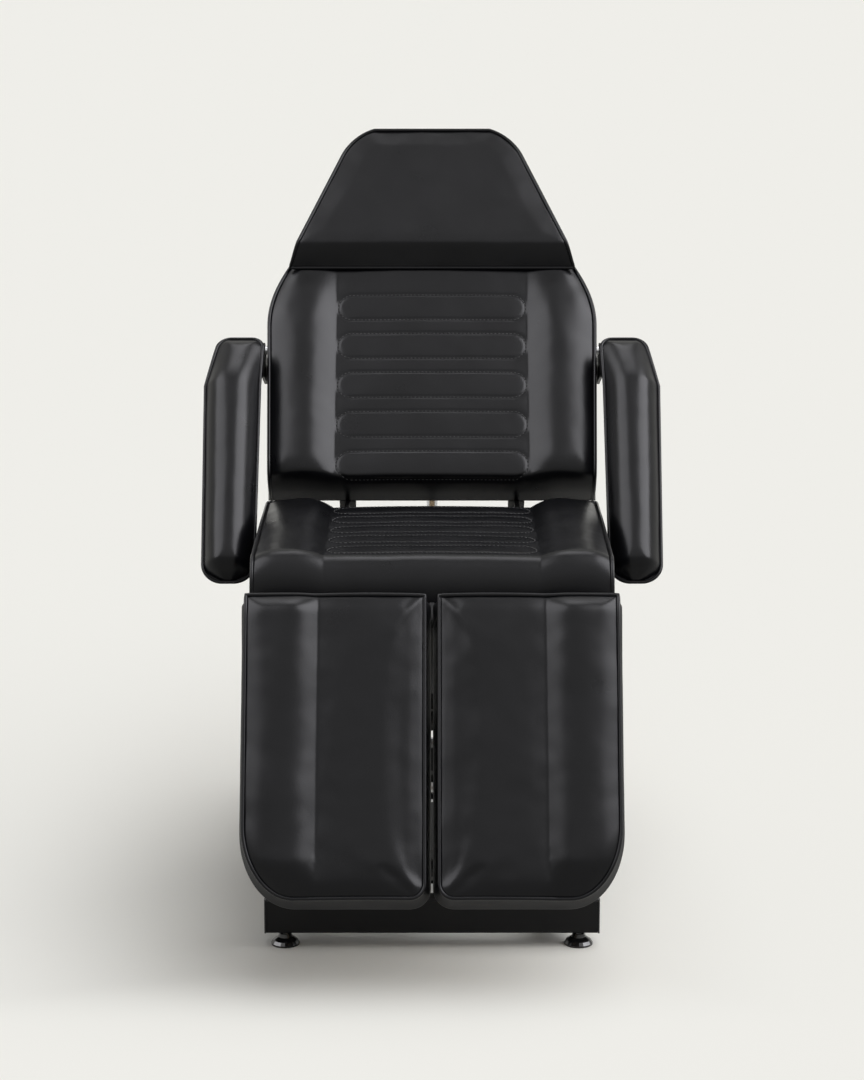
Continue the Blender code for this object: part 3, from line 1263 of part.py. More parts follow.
back_axis = pivot("back_axis", BACK_PIVOT, BACK_ANGLE, CHAIR_ROOT)
build_back(back_axis)
for hand_name, hand_side in (("left", -1), ("right", 1)):
    build_armrest(hand_name, hand_side, back_axis)
    build_leg(hand_name, hand_side)

drive_looks = (PLASTIC, STEEL)
lift_sizes = (ACTUATOR_TUBE, ACTUATOR_BORE, ACTUATOR_ROD, LIFT_TUBE_END, LIFT_ROD_HIDDEN)
telescope("lift", lift_anchor(), crank_place(), lift_sizes, drive_looks, motor_side=1)
back_lug = turned_place(BACK_PIVOT, BACK_ANGLE, 0, BACK_LUG_Y, -BACK_LUG_DROP)
back_sizes = (ACTUATOR_TUBE, ACTUATOR_BORE, ACTUATOR_ROD, BACK_TUBE_END, BACK_ROD_HIDDEN)
back_anchor = Vector((0, BACK_ANCHOR_Y, ANCHOR_Z))
flat_lug = turned_place(BACK_PIVOT, 0.0, 0, BACK_LUG_Y, -BACK_LUG_DROP)
back_stroke = (back_lug - back_anchor).length - (flat_lug - back_anchor).length
telescope("back_drive", back_anchor, back_lug, back_sizes, drive_looks, motor_side=1, retracts=back_stroke)
strut_sizes = (STRUT_TUBE, STRUT_BORE, STRUT_ROD, STRUT_TUBE_END, STRUT_ROD_HIDDEN)
for hand_name, hand_side in (("left", -1), ("right", 1)):
    strut_x = hand_side * LEG_STRUT_X
    leg_lug = turned_place(LEG_PIVOT, LEG_ANGLE, strut_x, -LEG_STRUT_BACK, -LEG_STRUT_DROP)
    strut_anchor = Vector((strut_x, STRUT_ANCHOR_Y, ANCHOR_Z))
    telescope(f"{hand_name}_strut", strut_anchor, leg_lug, strut_sizes, (POWDER_COAT, STEEL))


def centre_over_floor():
    """Slides the whole chair along Y so that the origin lies under the middle of its length."""
    bpy.context.view_layer.update()
    reach = []
    for obj in bpy.data.objects:
        if obj.type == "MESH":
            reach += [(obj.matrix_world @ vertex.co).y for vertex in obj.data.vertices]
    CHAIR_ROOT.location.y = -(min(reach) + max(reach)) / 2
    bpy.context.view_layer.update()


centre_over_floor()
print("chair root moved along Y by", round(CHAIR_ROOT.location.y, 5))
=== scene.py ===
# %% [markdown]
# # A padded podiatry chair, dressed in Blender
#
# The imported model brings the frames, drives and boards, each node at its true place in metres.
# This lesson adds what a solid can't show: stuffed pads under black faux leather, piping, stitching,
# small fasteners and finishes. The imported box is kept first, because the dressed chair stays close to it.

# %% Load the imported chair
import json
import math

import bmesh
import bpy
from mathutils import Matrix, Vector, noise
from mathutils.bvhtree import BVHTree


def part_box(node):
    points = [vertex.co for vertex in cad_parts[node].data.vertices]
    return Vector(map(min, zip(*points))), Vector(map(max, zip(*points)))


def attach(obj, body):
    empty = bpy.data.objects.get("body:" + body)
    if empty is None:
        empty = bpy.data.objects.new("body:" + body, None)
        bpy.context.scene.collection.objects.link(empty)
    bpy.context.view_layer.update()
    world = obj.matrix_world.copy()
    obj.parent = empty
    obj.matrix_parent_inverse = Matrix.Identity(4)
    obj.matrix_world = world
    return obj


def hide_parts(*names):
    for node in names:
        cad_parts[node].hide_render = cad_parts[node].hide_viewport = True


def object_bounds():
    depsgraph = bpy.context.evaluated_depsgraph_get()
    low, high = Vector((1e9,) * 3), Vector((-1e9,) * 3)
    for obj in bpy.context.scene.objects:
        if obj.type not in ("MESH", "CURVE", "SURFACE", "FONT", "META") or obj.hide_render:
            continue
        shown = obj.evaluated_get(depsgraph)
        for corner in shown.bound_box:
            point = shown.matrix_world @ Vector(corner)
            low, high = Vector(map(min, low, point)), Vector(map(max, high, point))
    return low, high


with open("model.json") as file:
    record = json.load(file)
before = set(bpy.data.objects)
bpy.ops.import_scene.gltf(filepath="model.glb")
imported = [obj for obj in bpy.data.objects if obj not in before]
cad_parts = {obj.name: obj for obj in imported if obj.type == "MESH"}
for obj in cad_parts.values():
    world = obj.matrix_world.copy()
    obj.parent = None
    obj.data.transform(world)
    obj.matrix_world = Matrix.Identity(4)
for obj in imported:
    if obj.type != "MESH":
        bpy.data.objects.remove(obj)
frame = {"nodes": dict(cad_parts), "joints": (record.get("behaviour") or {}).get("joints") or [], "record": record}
cad_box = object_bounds()
nodes = frame["nodes"]
hinges = {joint["name"]: joint for joint in frame["joints"]}
print("packed nodes:", len(nodes), "box:", [tuple(round(v, 3) for v in corner) for corner in cad_box])

# %% [markdown]
# ## Where each padded group lies
#
# A maker cuts and sews every pad flat. The pads are therefore modelled flat here too, measured from their
# hinge, and one matrix per group turns them to the sitting position. The hinge places come from the packed
# joints, so a pad can't drift away from the frame that carries it.

# %% Frames of the padded groups
BACK_TILT = 52.0
LEG_HANG = 62.0


def laid_on(hinge, degrees):
    return Matrix.Translation((0, hinge[1], hinge[2])) @ Matrix.Rotation(math.radians(degrees), 4, "X")


on_back = laid_on(hinges["back_recline"]["pos_m"], BACK_TILT)
on_legs = laid_on(hinges["left_leg_raise"]["pos_m"], LEG_HANG)
seat_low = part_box("seat_cushion")[0]
on_seat = Matrix.Translation((0, seat_low[1], seat_low[2]))
print("seat front at y", round(seat_low[1], 4), "and its base at z", round(seat_low[2], 4))

# %% [markdown]
# ## Node groups that several finishes share
#
# Leather, powder coat and moulded plastic all have a fine relief, and every surface varies a little in tone
# and gloss over a hand's width. Each effect is a shader node group with named sockets, built once.
# A group only puts out values that change over the surface; the Principled shader stays in the material.

# %% Helpers for node trees
def wire(tree, kind, inputs=None, **settings):
    """Add one node, set its options, and link or set its inputs."""
    made = tree.nodes.new(kind)
    for option, value in settings.items():
        setattr(made, option, value)
    for socket, value in (inputs or {}).items():
        if isinstance(value, bpy.types.NodeSocket):
            tree.links.new(value, made.inputs[socket])
        else:
            made.inputs[socket].default_value = value
    return made


def new_group(name, inputs, outputs):
    """An empty shader group with float inputs and outputs."""
    group = bpy.data.node_groups.new(name, "ShaderNodeTree")
    for socket, value in inputs.items():
        made = group.interface.new_socket(socket, in_out="INPUT", socket_type="NodeSocketFloat")
        made.default_value = value
    for socket in outputs:
        group.interface.new_socket(socket, in_out="OUTPUT", socket_type="NodeSocketFloat")
    entry = group.nodes.new("NodeGroupInput")
    leave = group.nodes.new("NodeGroupOutput")
    return group, entry, leave


# %% Shared groups: hide grain, fine speckle, slow drift
def build_hide_grain():
    """Pebbled grain of a coated hide: rounded cells, a softer second size and a few stretch wrinkles."""
    group, entry, leave = new_group("hide_grain", {"Cells": 900.0, "Wrinkle": 0.25}, ("Height",))
    place = wire(group, "ShaderNodeTexCoord").outputs["Object"]
    cells = wire(group, "ShaderNodeTexVoronoi", {"Vector": place, "Scale": entry.outputs["Cells"]},
                 feature="SMOOTH_F1")
    cells.inputs["Smoothness"].default_value = 0.7
    wider = wire(group, "ShaderNodeMath", {0: entry.outputs["Cells"], 1: 0.37}, operation="MULTIPLY")
    broad = wire(group, "ShaderNodeTexVoronoi", {"Vector": place, "Scale": wider.outputs[0]},
                 feature="SMOOTH_F1")
    broad.inputs["Smoothness"].default_value = 0.8
    both = wire(group, "ShaderNodeMath", {0: cells.outputs["Distance"], 1: broad.outputs["Distance"]},
                operation="ADD")
    raised = wire(group, "ShaderNodeMath", {0: 1.0, 1: both.outputs[0]}, operation="SUBTRACT")
    creased = wire(group, "ShaderNodeTexNoise", {"Vector": place, "Scale": 38.0, "Detail": 3.0,
                                                 "Distortion": 1.1})
    pulled = wire(group, "ShaderNodeMath", {0: creased.outputs["Fac"], 1: entry.outputs["Wrinkle"]},
                  operation="MULTIPLY")
    total = wire(group, "ShaderNodeMath", {0: raised.outputs[0], 1: pulled.outputs[0]}, operation="ADD")
    group.links.new(total.outputs[0], leave.inputs["Height"])
    return group


def build_speckle():
    """Even orange-peel relief of sprayed powder or spark-eroded plastic."""
    group, entry, leave = new_group("fine_speckle", {"Size": 700.0, "Softness": 0.5}, ("Height",))
    place = wire(group, "ShaderNodeTexCoord").outputs["Object"]
    peel = wire(group, "ShaderNodeTexNoise", {"Vector": place, "Scale": entry.outputs["Size"], "Detail": 2.0,
                                              "Roughness": entry.outputs["Softness"]})
    group.links.new(peel.outputs["Fac"], leave.inputs["Height"])
    return group


def build_drift():
    """Slow change of tone or gloss, from the width of a hand upwards."""
    group, entry, leave = new_group("slow_drift", {"Size": 6.0, "Low": 0.0, "High": 1.0}, ("Value",))
    place = wire(group, "ShaderNodeTexCoord").outputs["Object"]
    cloud = wire(group, "ShaderNodeTexNoise", {"Vector": place, "Scale": entry.outputs["Size"],
                                               "Detail": 4.0})
    spread = wire(group, "ShaderNodeMapRange", {"Value": cloud.outputs["Fac"], "From Min": 0.3,
                                                "From Max": 0.7, "To Min": entry.outputs["Low"],
                                                "To Max": entry.outputs["High"]})
    group.links.new(spread.outputs["Result"], leave.inputs["Value"])
    return group


hide_grain = build_hide_grain()
fine_speckle = build_speckle()
slow_drift = build_drift()
print("node groups:", [group.name for group in bpy.data.node_groups])

# %% [markdown]
# ## Finishes
#
# The covers are a smooth black coated fabric with a soft sheen: a dark base, a fairly low roughness that
# drifts a little, and a grain so fine that it only breaks up the highlight. The boxing strips are the same
# cloth with a duller face. Powder coat is dark with orange peel, the feet are gloss moulded plastic, the
# axles are zinc plated, and the boards under the pads are birch plywood. A low specular level keeps leather
# and powder coat dark, although a pale floor lies all round them.

# %% Helpers for finishes
def start_finish(name):
    made = bpy.data.materials.new(name)
    made.use_nodes = True
    tree = made.node_tree
    return made, tree, tree.nodes["Principled BSDF"]


def placed(tree, group, **values):
    made = tree.nodes.new("ShaderNodeGroup")
    made.node_tree = group
    for socket, value in values.items():
        made.inputs[socket].default_value = value
    return made


def relief(tree, shader, height, strength, distance):
    bump = wire(tree, "ShaderNodeBump", {"Height": height})
    bump.inputs["Strength"].default_value = strength
    bump.inputs["Distance"].default_value = distance
    tree.links.new(bump.outputs["Normal"], shader.inputs["Normal"])


def two_tones(tree, shader, value, dark, light):
    ramp = tree.nodes.new("ShaderNodeValToRGB")
    ramp.color_ramp.elements[0].color = (*dark, 1)
    ramp.color_ramp.elements[1].color = (*light, 1)
    tree.links.new(value, ramp.inputs["Fac"])
    tree.links.new(ramp.outputs["Color"], shader.inputs["Base Color"])


# %% Faux leather and the duller boxing cloth
LEATHER_SPECULAR = 0.15


def faux_leather(name, dark, light, gloss, grain):
    made, tree, shader = start_finish(name)
    tone = placed(tree, slow_drift, Size=7.0)
    two_tones(tree, shader, tone.outputs["Value"], dark, light)
    sheen = placed(tree, slow_drift, Size=11.0, Low=gloss[0], High=gloss[1])
    tree.links.new(sheen.outputs["Value"], shader.inputs["Roughness"])
    pebbles = placed(tree, hide_grain, Cells=1100.0, Wrinkle=0.3)
    relief(tree, shader, pebbles.outputs["Height"], grain, 0.0003)
    shader.inputs["Specular IOR Level"].default_value = LEATHER_SPECULAR
    return made


BLACK_HIDE = ((0.0020, 0.0021, 0.0029), (0.0032, 0.0033, 0.0044))
leather = faux_leather("black_faux_leather", *BLACK_HIDE, (0.27, 0.33), 0.16)
boxing_leather = faux_leather("boxing_faux_leather", *BLACK_HIDE, (0.52, 0.60), 0.2)
piping_leather = faux_leather("piping_faux_leather", *BLACK_HIDE, (0.27, 0.32), 0.1)
print("covers:", leather.name, boxing_leather.name, piping_leather.name)


# %% Metals, mouldings, thread and plywood
def coated(name, dark, light, rough, size, strength):
    made, tree, shader = start_finish(name)
    tone = placed(tree, slow_drift, Size=9.0)
    two_tones(tree, shader, tone.outputs["Value"], dark, light)
    sheen = placed(tree, slow_drift, Size=16.0, Low=rough[0], High=rough[1])
    tree.links.new(sheen.outputs["Value"], shader.inputs["Roughness"])
    peel = placed(tree, fine_speckle, Size=size)
    relief(tree, shader, peel.outputs["Height"], strength, 0.0002)
    return made


def zinc_plate():
    made, tree, shader = start_finish("zinc_plated_steel")
    tone = placed(tree, slow_drift, Size=40.0)
    two_tones(tree, shader, tone.outputs["Value"], (0.50, 0.51, 0.53), (0.66, 0.66, 0.66))
    sheen = placed(tree, slow_drift, Size=60.0, Low=0.22, High=0.36)
    tree.links.new(sheen.outputs["Value"], shader.inputs["Roughness"])
    shader.inputs["Metallic"].default_value = 1.0
    peel = placed(tree, fine_speckle, Size=1600.0)
    relief(tree, shader, peel.outputs["Height"], 0.08, 0.0001)
    return made


def birch_ply():
    """Pale face veneer with long grain."""
    made, tree, shader = start_finish("birch_plywood")
    place = wire(tree, "ShaderNodeTexCoord").outputs["Object"]
    drawn = wire(tree, "ShaderNodeMapping", {"Vector": place, "Scale": (30.0, 2.5, 2.5)})
    grain = wire(tree, "ShaderNodeTexNoise", {"Vector": drawn.outputs["Vector"], "Scale": 4.0, "Detail": 6.0,
                                              "Distortion": 0.6})
    two_tones(tree, shader, grain.outputs["Fac"], (0.42, 0.29, 0.17), (0.66, 0.51, 0.33))
    sheen = placed(tree, slow_drift, Size=14.0, Low=0.55, High=0.68)
    tree.links.new(sheen.outputs["Value"], shader.inputs["Roughness"])
    relief(tree, shader, grain.outputs["Fac"], 0.15, 0.0003)
    return made


POWDER_SPECULAR = 0.14

powder_coat = coated("black_powder_coat", (0.004, 0.004, 0.0044), (0.0065, 0.0065, 0.007),
                     (0.40, 0.52), 650.0, 0.22)
powder_shader = powder_coat.node_tree.nodes["Principled BSDF"]
powder_shader.inputs["Specular IOR Level"].default_value = POWDER_SPECULAR
gloss_moulding = coated("gloss_black_moulding", (0.006, 0.006, 0.0065), (0.009, 0.009, 0.0095),
                        (0.10, 0.18), 300.0, 0.03)
matt_plastic = coated("matt_black_plastic", (0.012, 0.012, 0.0125), (0.018, 0.018, 0.0185),
                      (0.50, 0.62), 1200.0, 0.3)
thread_black = coated("black_thread", (0.004, 0.004, 0.0042), (0.009, 0.009, 0.0095),
                      (0.5, 0.62), 2400.0, 0.4)
zinc = zinc_plate()
birch = birch_ply()
FINISHES = {
    "black_powder_coat": powder_coat,
    "gloss_black_moulding": gloss_moulding,
    "matt_black_plastic": matt_plastic,
    "zinc_plated_steel": zinc,
    "birch_plywood": birch,
    "black_faux_leather": leather,
}
for part in frame["record"]["subparts"]:
    node = nodes[part["node"]]
    node.data.materials.clear()
    node.data.materials.append(FINISHES[part["material_slot"]])
print("finishes on packed nodes:", sorted(FINISHES))

# %% [markdown]
# ## How a pad is made
#
# An upholsterer cuts a top panel and a boxing strip, sews them together over a piping cord and pulls the
# cover over foam. Here a pad starts as a grid of points on the top panel, with rings of boxing below its rim.
# Points on seams, creases and the boxing's foot go into a vertex group that holds them. Blender's Cloth then
# blows the cover up a little between its seams, as foam does, and a cap on each point's move keeps the pad in
# the space that the chair gives it. The underside is closed last.

# %% Helpers for stations and soft steps
def ease(low, high, value):
    t = min(1.0, max(0.0, (value - low) / (high - low)))
    return t * t * (3 - 2 * t)


def through(marks, step):
    """Stations through every mark, with even steps between that are no longer than step."""
    found = [marks[0]]
    for low, high in zip(marks, marks[1:]):
        count = max(1, math.ceil((high - low) / step))
        found += [low + (high - low) * k / count for k in range(1, count + 1)]
    return found


def mirrored(marks):
    return [-x for x in marks[:0:-1]] + marks


def held_near(distance, reach=0.006):
    """How firmly a seam or crease holds the cover at a distance from it."""
    return 1 - min(1.0, abs(distance) / reach)


def edge_fall(distance, drop=0.010, reach=0.032):
    """How far a cover drops towards its piped edge."""
    inward = min(1.0, max(0.0, distance / reach))
    return drop * (1 - inward) ** 2


# %% Helpers that put a new object in the scene
def linked(name, data):
    made = bpy.data.objects.new(name, data)
    bpy.context.scene.collection.objects.link(made)
    return made


def as_object(name, bm):
    mesh = bpy.data.meshes.new(name)
    bm.to_mesh(mesh)
    bm.free()
    return linked(name, mesh)


# %% Build the cover of one pad
BOXING_STEPS = (0.9, 0.76, 0.62, 0.48, 0.34, 0.2, 0.08, 0.0)
BOXING_GRIP = 0.25
FOOT_SHARE = 0.15


def rim_of(grid):
    """The grid's border, anticlockwise seen from above, starting at its first row."""
    sides = [row[-1] for row in grid[1:-1]]
    back = [row[0] for row in grid[-2:0:-1]]
    return grid[0] + sides + grid[-1][::-1] + back


def outward(ring, k):
    ahead = ring[(k + 1) % len(ring)]
    behind = ring[k - 1]
    out = Vector((ahead.y - behind.y, behind.x - ahead.x, 0))
    return out.normalized()


def cover(name, rows, holds, underside, flares, limit=None):
    """A cover with an open underside. rows are top points, holds says how firmly each is sewn down, underside
    gives the base height at a point, flares are the boxing's side, front and rear spread at its foot, and
    limit moves a boxing point that would stand out too far."""
    bm = bmesh.new()
    grip = bm.verts.layers.deform.verify()
    grid = []
    for row, held in zip(rows, holds):
        made = []
        for point, hold in zip(row, held):
            vertex = bm.verts.new(point)
            vertex[grip][0] = hold
            made.append(vertex)
        grid.append(made)
    for low, high in zip(grid, grid[1:]):
        for k in range(len(low) - 1):
            bm.faces.new((low[k], low[k + 1], high[k + 1], high[k]))
    rim = rim_of(grid)
    edge = [vertex.co.copy() for vertex in rim]
    for vertex in rim:
        vertex[grip][0] = 1.0
    side, front, rear = flares
    ring = rim
    for share in BOXING_STEPS:
        lower = []
        for k, point in enumerate(edge):
            out = outward(edge, k)
            spread = (1 - share) ** 2
            place = point + Vector((side * out.x, (front if out.y < 0 else rear) * out.y, 0)) * spread
            if limit:
                place = limit(place)
            place.z = underside(point) + (point.z - underside(point)) * share
            vertex = bm.verts.new(place)
            vertex[grip][0] = 1.0 if share < FOOT_SHARE else BOXING_GRIP
            lower.append(vertex)
        for k in range(len(ring)):
            n = (k + 1) % len(ring)
            face = bm.faces.new((ring[k], lower[k], lower[n], ring[n]))
            face.material_index = 1
        ring = lower
    pad = as_object(name, bm)
    pad.data.materials.append(leather)
    pad.data.materials.append(boxing_leather)
    pad.vertex_groups.new(name="sewn")
    return pad, edge


# %% Stuff a cover
LAST_FRAME = 12


def evaluated_mesh(obj):
    graph = bpy.context.evaluated_depsgraph_get()
    return bpy.data.meshes.new_from_object(obj.evaluated_get(graph))


def stuffed(pad, pressure, most):
    """Cloth under inside pressure, held at its seams. No point moves further than most."""
    scene = bpy.context.scene
    cloth = pad.modifiers.new("stuffing", "CLOTH")
    sewn = cloth.settings
    sewn.quality = 3
    sewn.mass = 0.3
    sewn.tension_stiffness = 20
    sewn.compression_stiffness = 20
    sewn.shear_stiffness = 10
    sewn.bending_stiffness = 2
    sewn.use_pressure = True
    sewn.uniform_pressure_force = pressure
    sewn.effector_weights.gravity = 0
    sewn.vertex_group_mass = "sewn"
    cloth.collision_settings.use_collision = False
    cloth.point_cache.frame_start = 1
    cloth.point_cache.frame_end = LAST_FRAME
    for step in range(1, LAST_FRAME + 1):
        scene.frame_set(step)
    blown = evaluated_mesh(pad)
    pad.modifiers.clear()
    scene.frame_set(1)
    moved = 0.0
    for vertex, target in zip(pad.data.vertices, blown.vertices):
        move = target.co - vertex.co
        if move.length > most:
            move *= most / move.length
        moved = max(moved, move.length)
        vertex.co += move
    bpy.data.meshes.remove(blown)
    print(pad.name, "stuffed, largest move", round(moved * 1000, 1), "mm")


# Noise scale and height of the cover's slack
SLACKS = ((13, 0.0011), (34, 0.0004))
FACES_UP = 0.3


def refined(pad, sew=None):
    """Subdivide the cover for good, give it slack, press in its sewn lines and close its underside."""
    finer = pad.modifiers.new("finer", "SUBSURF")
    finer.levels = 1
    finer.render_levels = 1
    smooth = evaluated_mesh(pad)
    pad.modifiers.clear()
    coarse = pad.data
    pad.data = smooth
    bpy.data.meshes.remove(coarse)
    normals = [vertex.normal.copy() for vertex in smooth.vertices]
    for vertex, normal in zip(smooth.vertices, normals):
        slack = sum(noise.noise(vertex.co * scale) * height for scale, height in SLACKS)
        pressed = sew(vertex.co) if sew and normal.z > FACES_UP else 0.0
        vertex.co += normal * (slack * max(0.0, normal.z) - pressed)
    bm = bmesh.new()
    bm.from_mesh(smooth)
    closing = bmesh.ops.holes_fill(bm, edges=bm.edges, sides=0)
    for face in closing["faces"]:
        face.material_index = 1
    bm.to_mesh(smooth)
    bm.free()
    smooth.shade_smooth()


# %% Place a finished piece on the chair
def settle(piece, place, body, finish=None):
    """Move a flat-made piece to its place, give it its finish and let it ride on its body."""
    piece.data.transform(place)
    if finish:
        piece.data.materials.clear()
        piece.data.materials.append(finish)
    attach(piece, body)
    return piece


def settle_pad(pad, place, body, node):
    settle(pad, place, body)
    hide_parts(node)


# %% Sweep a cord or a thread along a path
def swept(name, paths, radius, closed=False, sides=8, taper=1.0):
    """Round tubes along one or more paths, as one mesh. taper shrinks the ends of open ones."""
    bm = bmesh.new()
    for path in paths:
        count = len(path)
        rings = []
        normal = None
        for k, point in enumerate(path):
            ahead = path[(k + 1) % count] if closed else path[min(k + 1, count - 1)]
            behind = path[k - 1] if closed else path[max(k - 1, 0)]
            along = (ahead - behind).normalized()
            if normal is None:
                normal = along.orthogonal().normalized()
            normal = (normal - along * normal.dot(along)).normalized()
            across = along.cross(normal)
            size = radius
            if not closed and k in (0, count - 1):
                size = radius * taper
            ring = []
            for i in range(sides):
                turn = 2 * math.pi * i / sides
                ring.append(bm.verts.new(point + (normal * math.cos(turn) + across * math.sin(turn)) * size))
            rings.append(ring)
        pairs = list(zip(rings, rings[1:]))
        if closed:
            last, first = rings[-1], rings[0]
            shift = min(range(sides), key=lambda i: (last[0].co - first[i].co).length)
            pairs.append((last, first[shift:] + first[:shift]))
        else:
            bm.faces.new(rings[0][::-1])
            bm.faces.new(rings[-1])
        for low, high in pairs:
            for i in range(sides):
                n = (i + 1) % sides
                bm.faces.new((low[i], low[n], high[n], high[i]))
    bmesh.ops.recalc_face_normals(bm, faces=bm.faces)
    made = as_object(name, bm)
    made.data.shade_smooth()
    return made


PIPING_RADIUS = 0.0033


def piping(name, edge, place, body, closed=True, lift=0.001, out=0.001):
    """The cord in its leather sleeve that is sewn in along a pad's edge."""
    path = []
    for k, point in enumerate(edge):
        path.append(point + outward(edge, k) * out + Vector((0, 0, lift)))
    made = swept(name, [path], PIPING_RADIUS, closed=closed)
    return settle(made, place, body, piping_leather)


# %% [markdown]
# ## The sewn panels of seat and back
#
# The middle panels carry five sewn oblongs with round ends. Each is a line of stitches pulled into the foam,
# so the cover puffs up inside it. The same two functions serve seat and back: one gives the distance to the
# nearest sewn line, the other the depth of the groove there.

# %% Sewn oblongs
PANEL_HALF = 0.180
OBLONG_ROWS = 5
OBLONG_HALF = 0.176
OBLONG_HIGH = 0.0535
OBLONG_PITCH = 0.0832
SEAM_WIDE = 0.0050
SEAM_DEPTH = 0.0023


def off_seam(x, along, first):
    """Signed distance to the outline of the nearest oblong, negative inside it."""
    half = OBLONG_HIGH / 2
    nearest = min(OBLONG_ROWS - 1, max(0, round((along - first) / OBLONG_PITCH)))
    past_end = max(abs(x) - (OBLONG_HALF - half), 0.0)
    return math.hypot(past_end, along - (first + nearest * OBLONG_PITCH)) - half


def seam_groove(x, along, first):
    off = abs(off_seam(x, along, first))
    return SEAM_DEPTH * max(0.0, 1 - off / SEAM_WIDE) ** 2


def seam_marks(first):
    marks = []
    for k in range(OBLONG_ROWS):
        middle = first + k * OBLONG_PITCH
        marks += [middle - OBLONG_HIGH / 2, middle + OBLONG_HIGH / 2]
    return marks


def oblong_path(middle, step=0.0012):
    """Points round one oblong, anticlockwise, in the flat panel."""
    half = OBLONG_HIGH / 2
    reach = OBLONG_HALF - half
    points = [(x, middle - half) for x in through([-reach, reach], step)]
    turns = through([-90, 90], math.degrees(step / half))
    points += [(reach + half * math.cos(math.radians(a)), middle + half * math.sin(math.radians(a)))
               for a in turns[1:-1]]
    points += [(x, middle + half) for x in through([-reach, reach], step)[::-1]]
    points += [(-reach - half * math.cos(math.radians(a)), middle - half * math.sin(math.radians(a)))
               for a in turns[1:-1]]
    return points


# %% Stitches in the sewn lines
STITCH = 0.0052
STITCH_PITCH = 0.0072
THREAD_RADIUS = 0.0007
THREAD_LIFT = 0.6 * THREAD_RADIUS
ABOVE_PAD = 1.0


def stitch_row(name, pad, first, start, place, body):
    """Thread stitches round every oblong, laid on the finished flat pad."""
    surface = BVHTree.FromObject(pad, bpy.context.evaluated_depsgraph_get())
    threads = []
    for k in range(OBLONG_ROWS):
        outline = [Vector((x, start + along, 0)) for x, along in oblong_path(first + k * OBLONG_PITCH)]
        travelled = 0.0
        piece = []
        for a, b in zip(outline, outline[1:] + outline[:1]):
            spot = a.copy()
            spot.z = ABOVE_PAD
            hit = surface.ray_cast(spot, Vector((0, 0, -1)))[0]
            if hit and travelled % STITCH_PITCH < STITCH:
                piece.append(hit + Vector((0, 0, THREAD_LIFT)))
            elif len(piece) > 1:
                threads.append(piece)
                piece = []
            else:
                piece = []
            travelled += (b - a).length
    made = swept(name, threads, THREAD_RADIUS, sides=5, taper=0.5)
    print(name, "stitches:", len(threads))
    return settle(made, place, body, thread_black)


# %% [markdown]
# ## Seat cushion
#
# The seat's cover runs over a rounded front edge and straight down its face. Low rolls stand along both
# sides, and the piping follows the side seams from the front's foot over the crest and along the rear edge.
# The rows of the grid follow the cover from the front's foot backwards, so the nose is part of the panel.

# %% Seat cushion
SEAT_LENGTH = 0.4765
SEAT_HALF = 0.298
SEAT_FOAM = 0.079
SEAT_ROLL = 0.018
SEAT_FIRST = 0.085
SEAT_NOSE = 0.045
ROLL_RAMP = 0.052
ROLL_SINK = 0.32
PANEL_CROWN = 0.003
SEAT_WRAP = 0.0148
SEAT_GRID = 0.0075
NOSE_STEPS = 12
LIP_START = 0.04
SEAM_GRIP = 0.8
SEAT_CREASE_GRIP = 0.6
SEAT_NOSE_GRIP = 0.35


def convex_roll(x, start, ramp, outer, rise):
    """A roll that leaves its crease steeply, crests a ramp's width further and sinks to the outer edge."""
    t = min(1.0, max(0.0, (x - start) / ramp))
    sink = ROLL_SINK * ease(start + ramp, outer, x)
    return rise * (1 - (1 - t) ** 2) * (1 - sink)


def seat_height(x, y):
    roll = convex_roll(abs(x), PANEL_HALF, ROLL_RAMP, SEAT_HALF, SEAT_ROLL)
    roll *= 0.6 + 0.4 * ease(0.05, 0.32, y)
    crown = PANEL_CROWN * max(0.0, 1 - (x / PANEL_HALF) ** 2)
    return SEAT_FOAM + roll + crown - edge_fall(min(SEAT_HALF - abs(x), SEAT_LENGTH - y))


def make_seat():
    stations = []
    for k in range(NOSE_STEPS + 1):
        turn = math.radians(90 * k / NOSE_STEPS)
        lip = LIP_START + (1 - LIP_START) * math.sin(turn) ** 0.85
        stations.append((SEAT_NOSE * (1 - math.cos(turn)) + 0.0002 * k, lip))
    marks = [stations[-1][0]] + seam_marks(SEAT_FIRST)
    marks = [m for m in marks if m >= stations[-1][0]] + [SEAT_LENGTH - 0.03, SEAT_LENGTH]
    stations += [(y, 1.0) for y in through(marks, SEAT_GRID)[1:]]
    columns = [0, OBLONG_HALF - OBLONG_HIGH / 2, OBLONG_HALF, PANEL_HALF + 0.004, PANEL_HALF + ROLL_RAMP]
    columns = mirrored(through(columns + [SEAT_HALF - 0.03, SEAT_HALF - 0.01, SEAT_HALF], SEAT_GRID))
    rows = []
    holds = []
    for y, lip in stations:
        rows.append([Vector((x, y, lip * (seat_height(x, y) + SEAT_WRAP) - SEAT_WRAP)) for x in columns])
        held = []
        for x in columns:
            seam = held_near(off_seam(x, y, SEAT_FIRST))
            crease = held_near(abs(x) - PANEL_HALF)
            sewn = max(SEAM_GRIP * seam, SEAT_CREASE_GRIP * crease)
            held.append(sewn if lip == 1.0 else SEAT_NOSE_GRIP)
        holds.append(held)
    pad, edge = cover("seat_upholstery", rows, holds, lambda p: -SEAT_WRAP, flares=(0.010, 0.0, 0.0))
    stuffed(pad, pressure=4.0, most=0.006)
    refined(pad, lambda p: 0.6 * seam_groove(p.x, p.y, SEAT_FIRST) if p.y > SEAT_NOSE else 0.0)
    stitch_row("seat_stitching", pad, SEAT_FIRST, 0.0, on_seat, "carriage")
    settle_pad(pad, on_seat, "carriage", "seat_cushion")
    across = len(columns)
    sides = edge[across - 1:] + edge[:1]
    piping("seat_piping", sides, on_seat, "carriage", closed=False)
    return pad


seat_pad = make_seat()
print("seat points:", len(seat_pad.data.vertices))

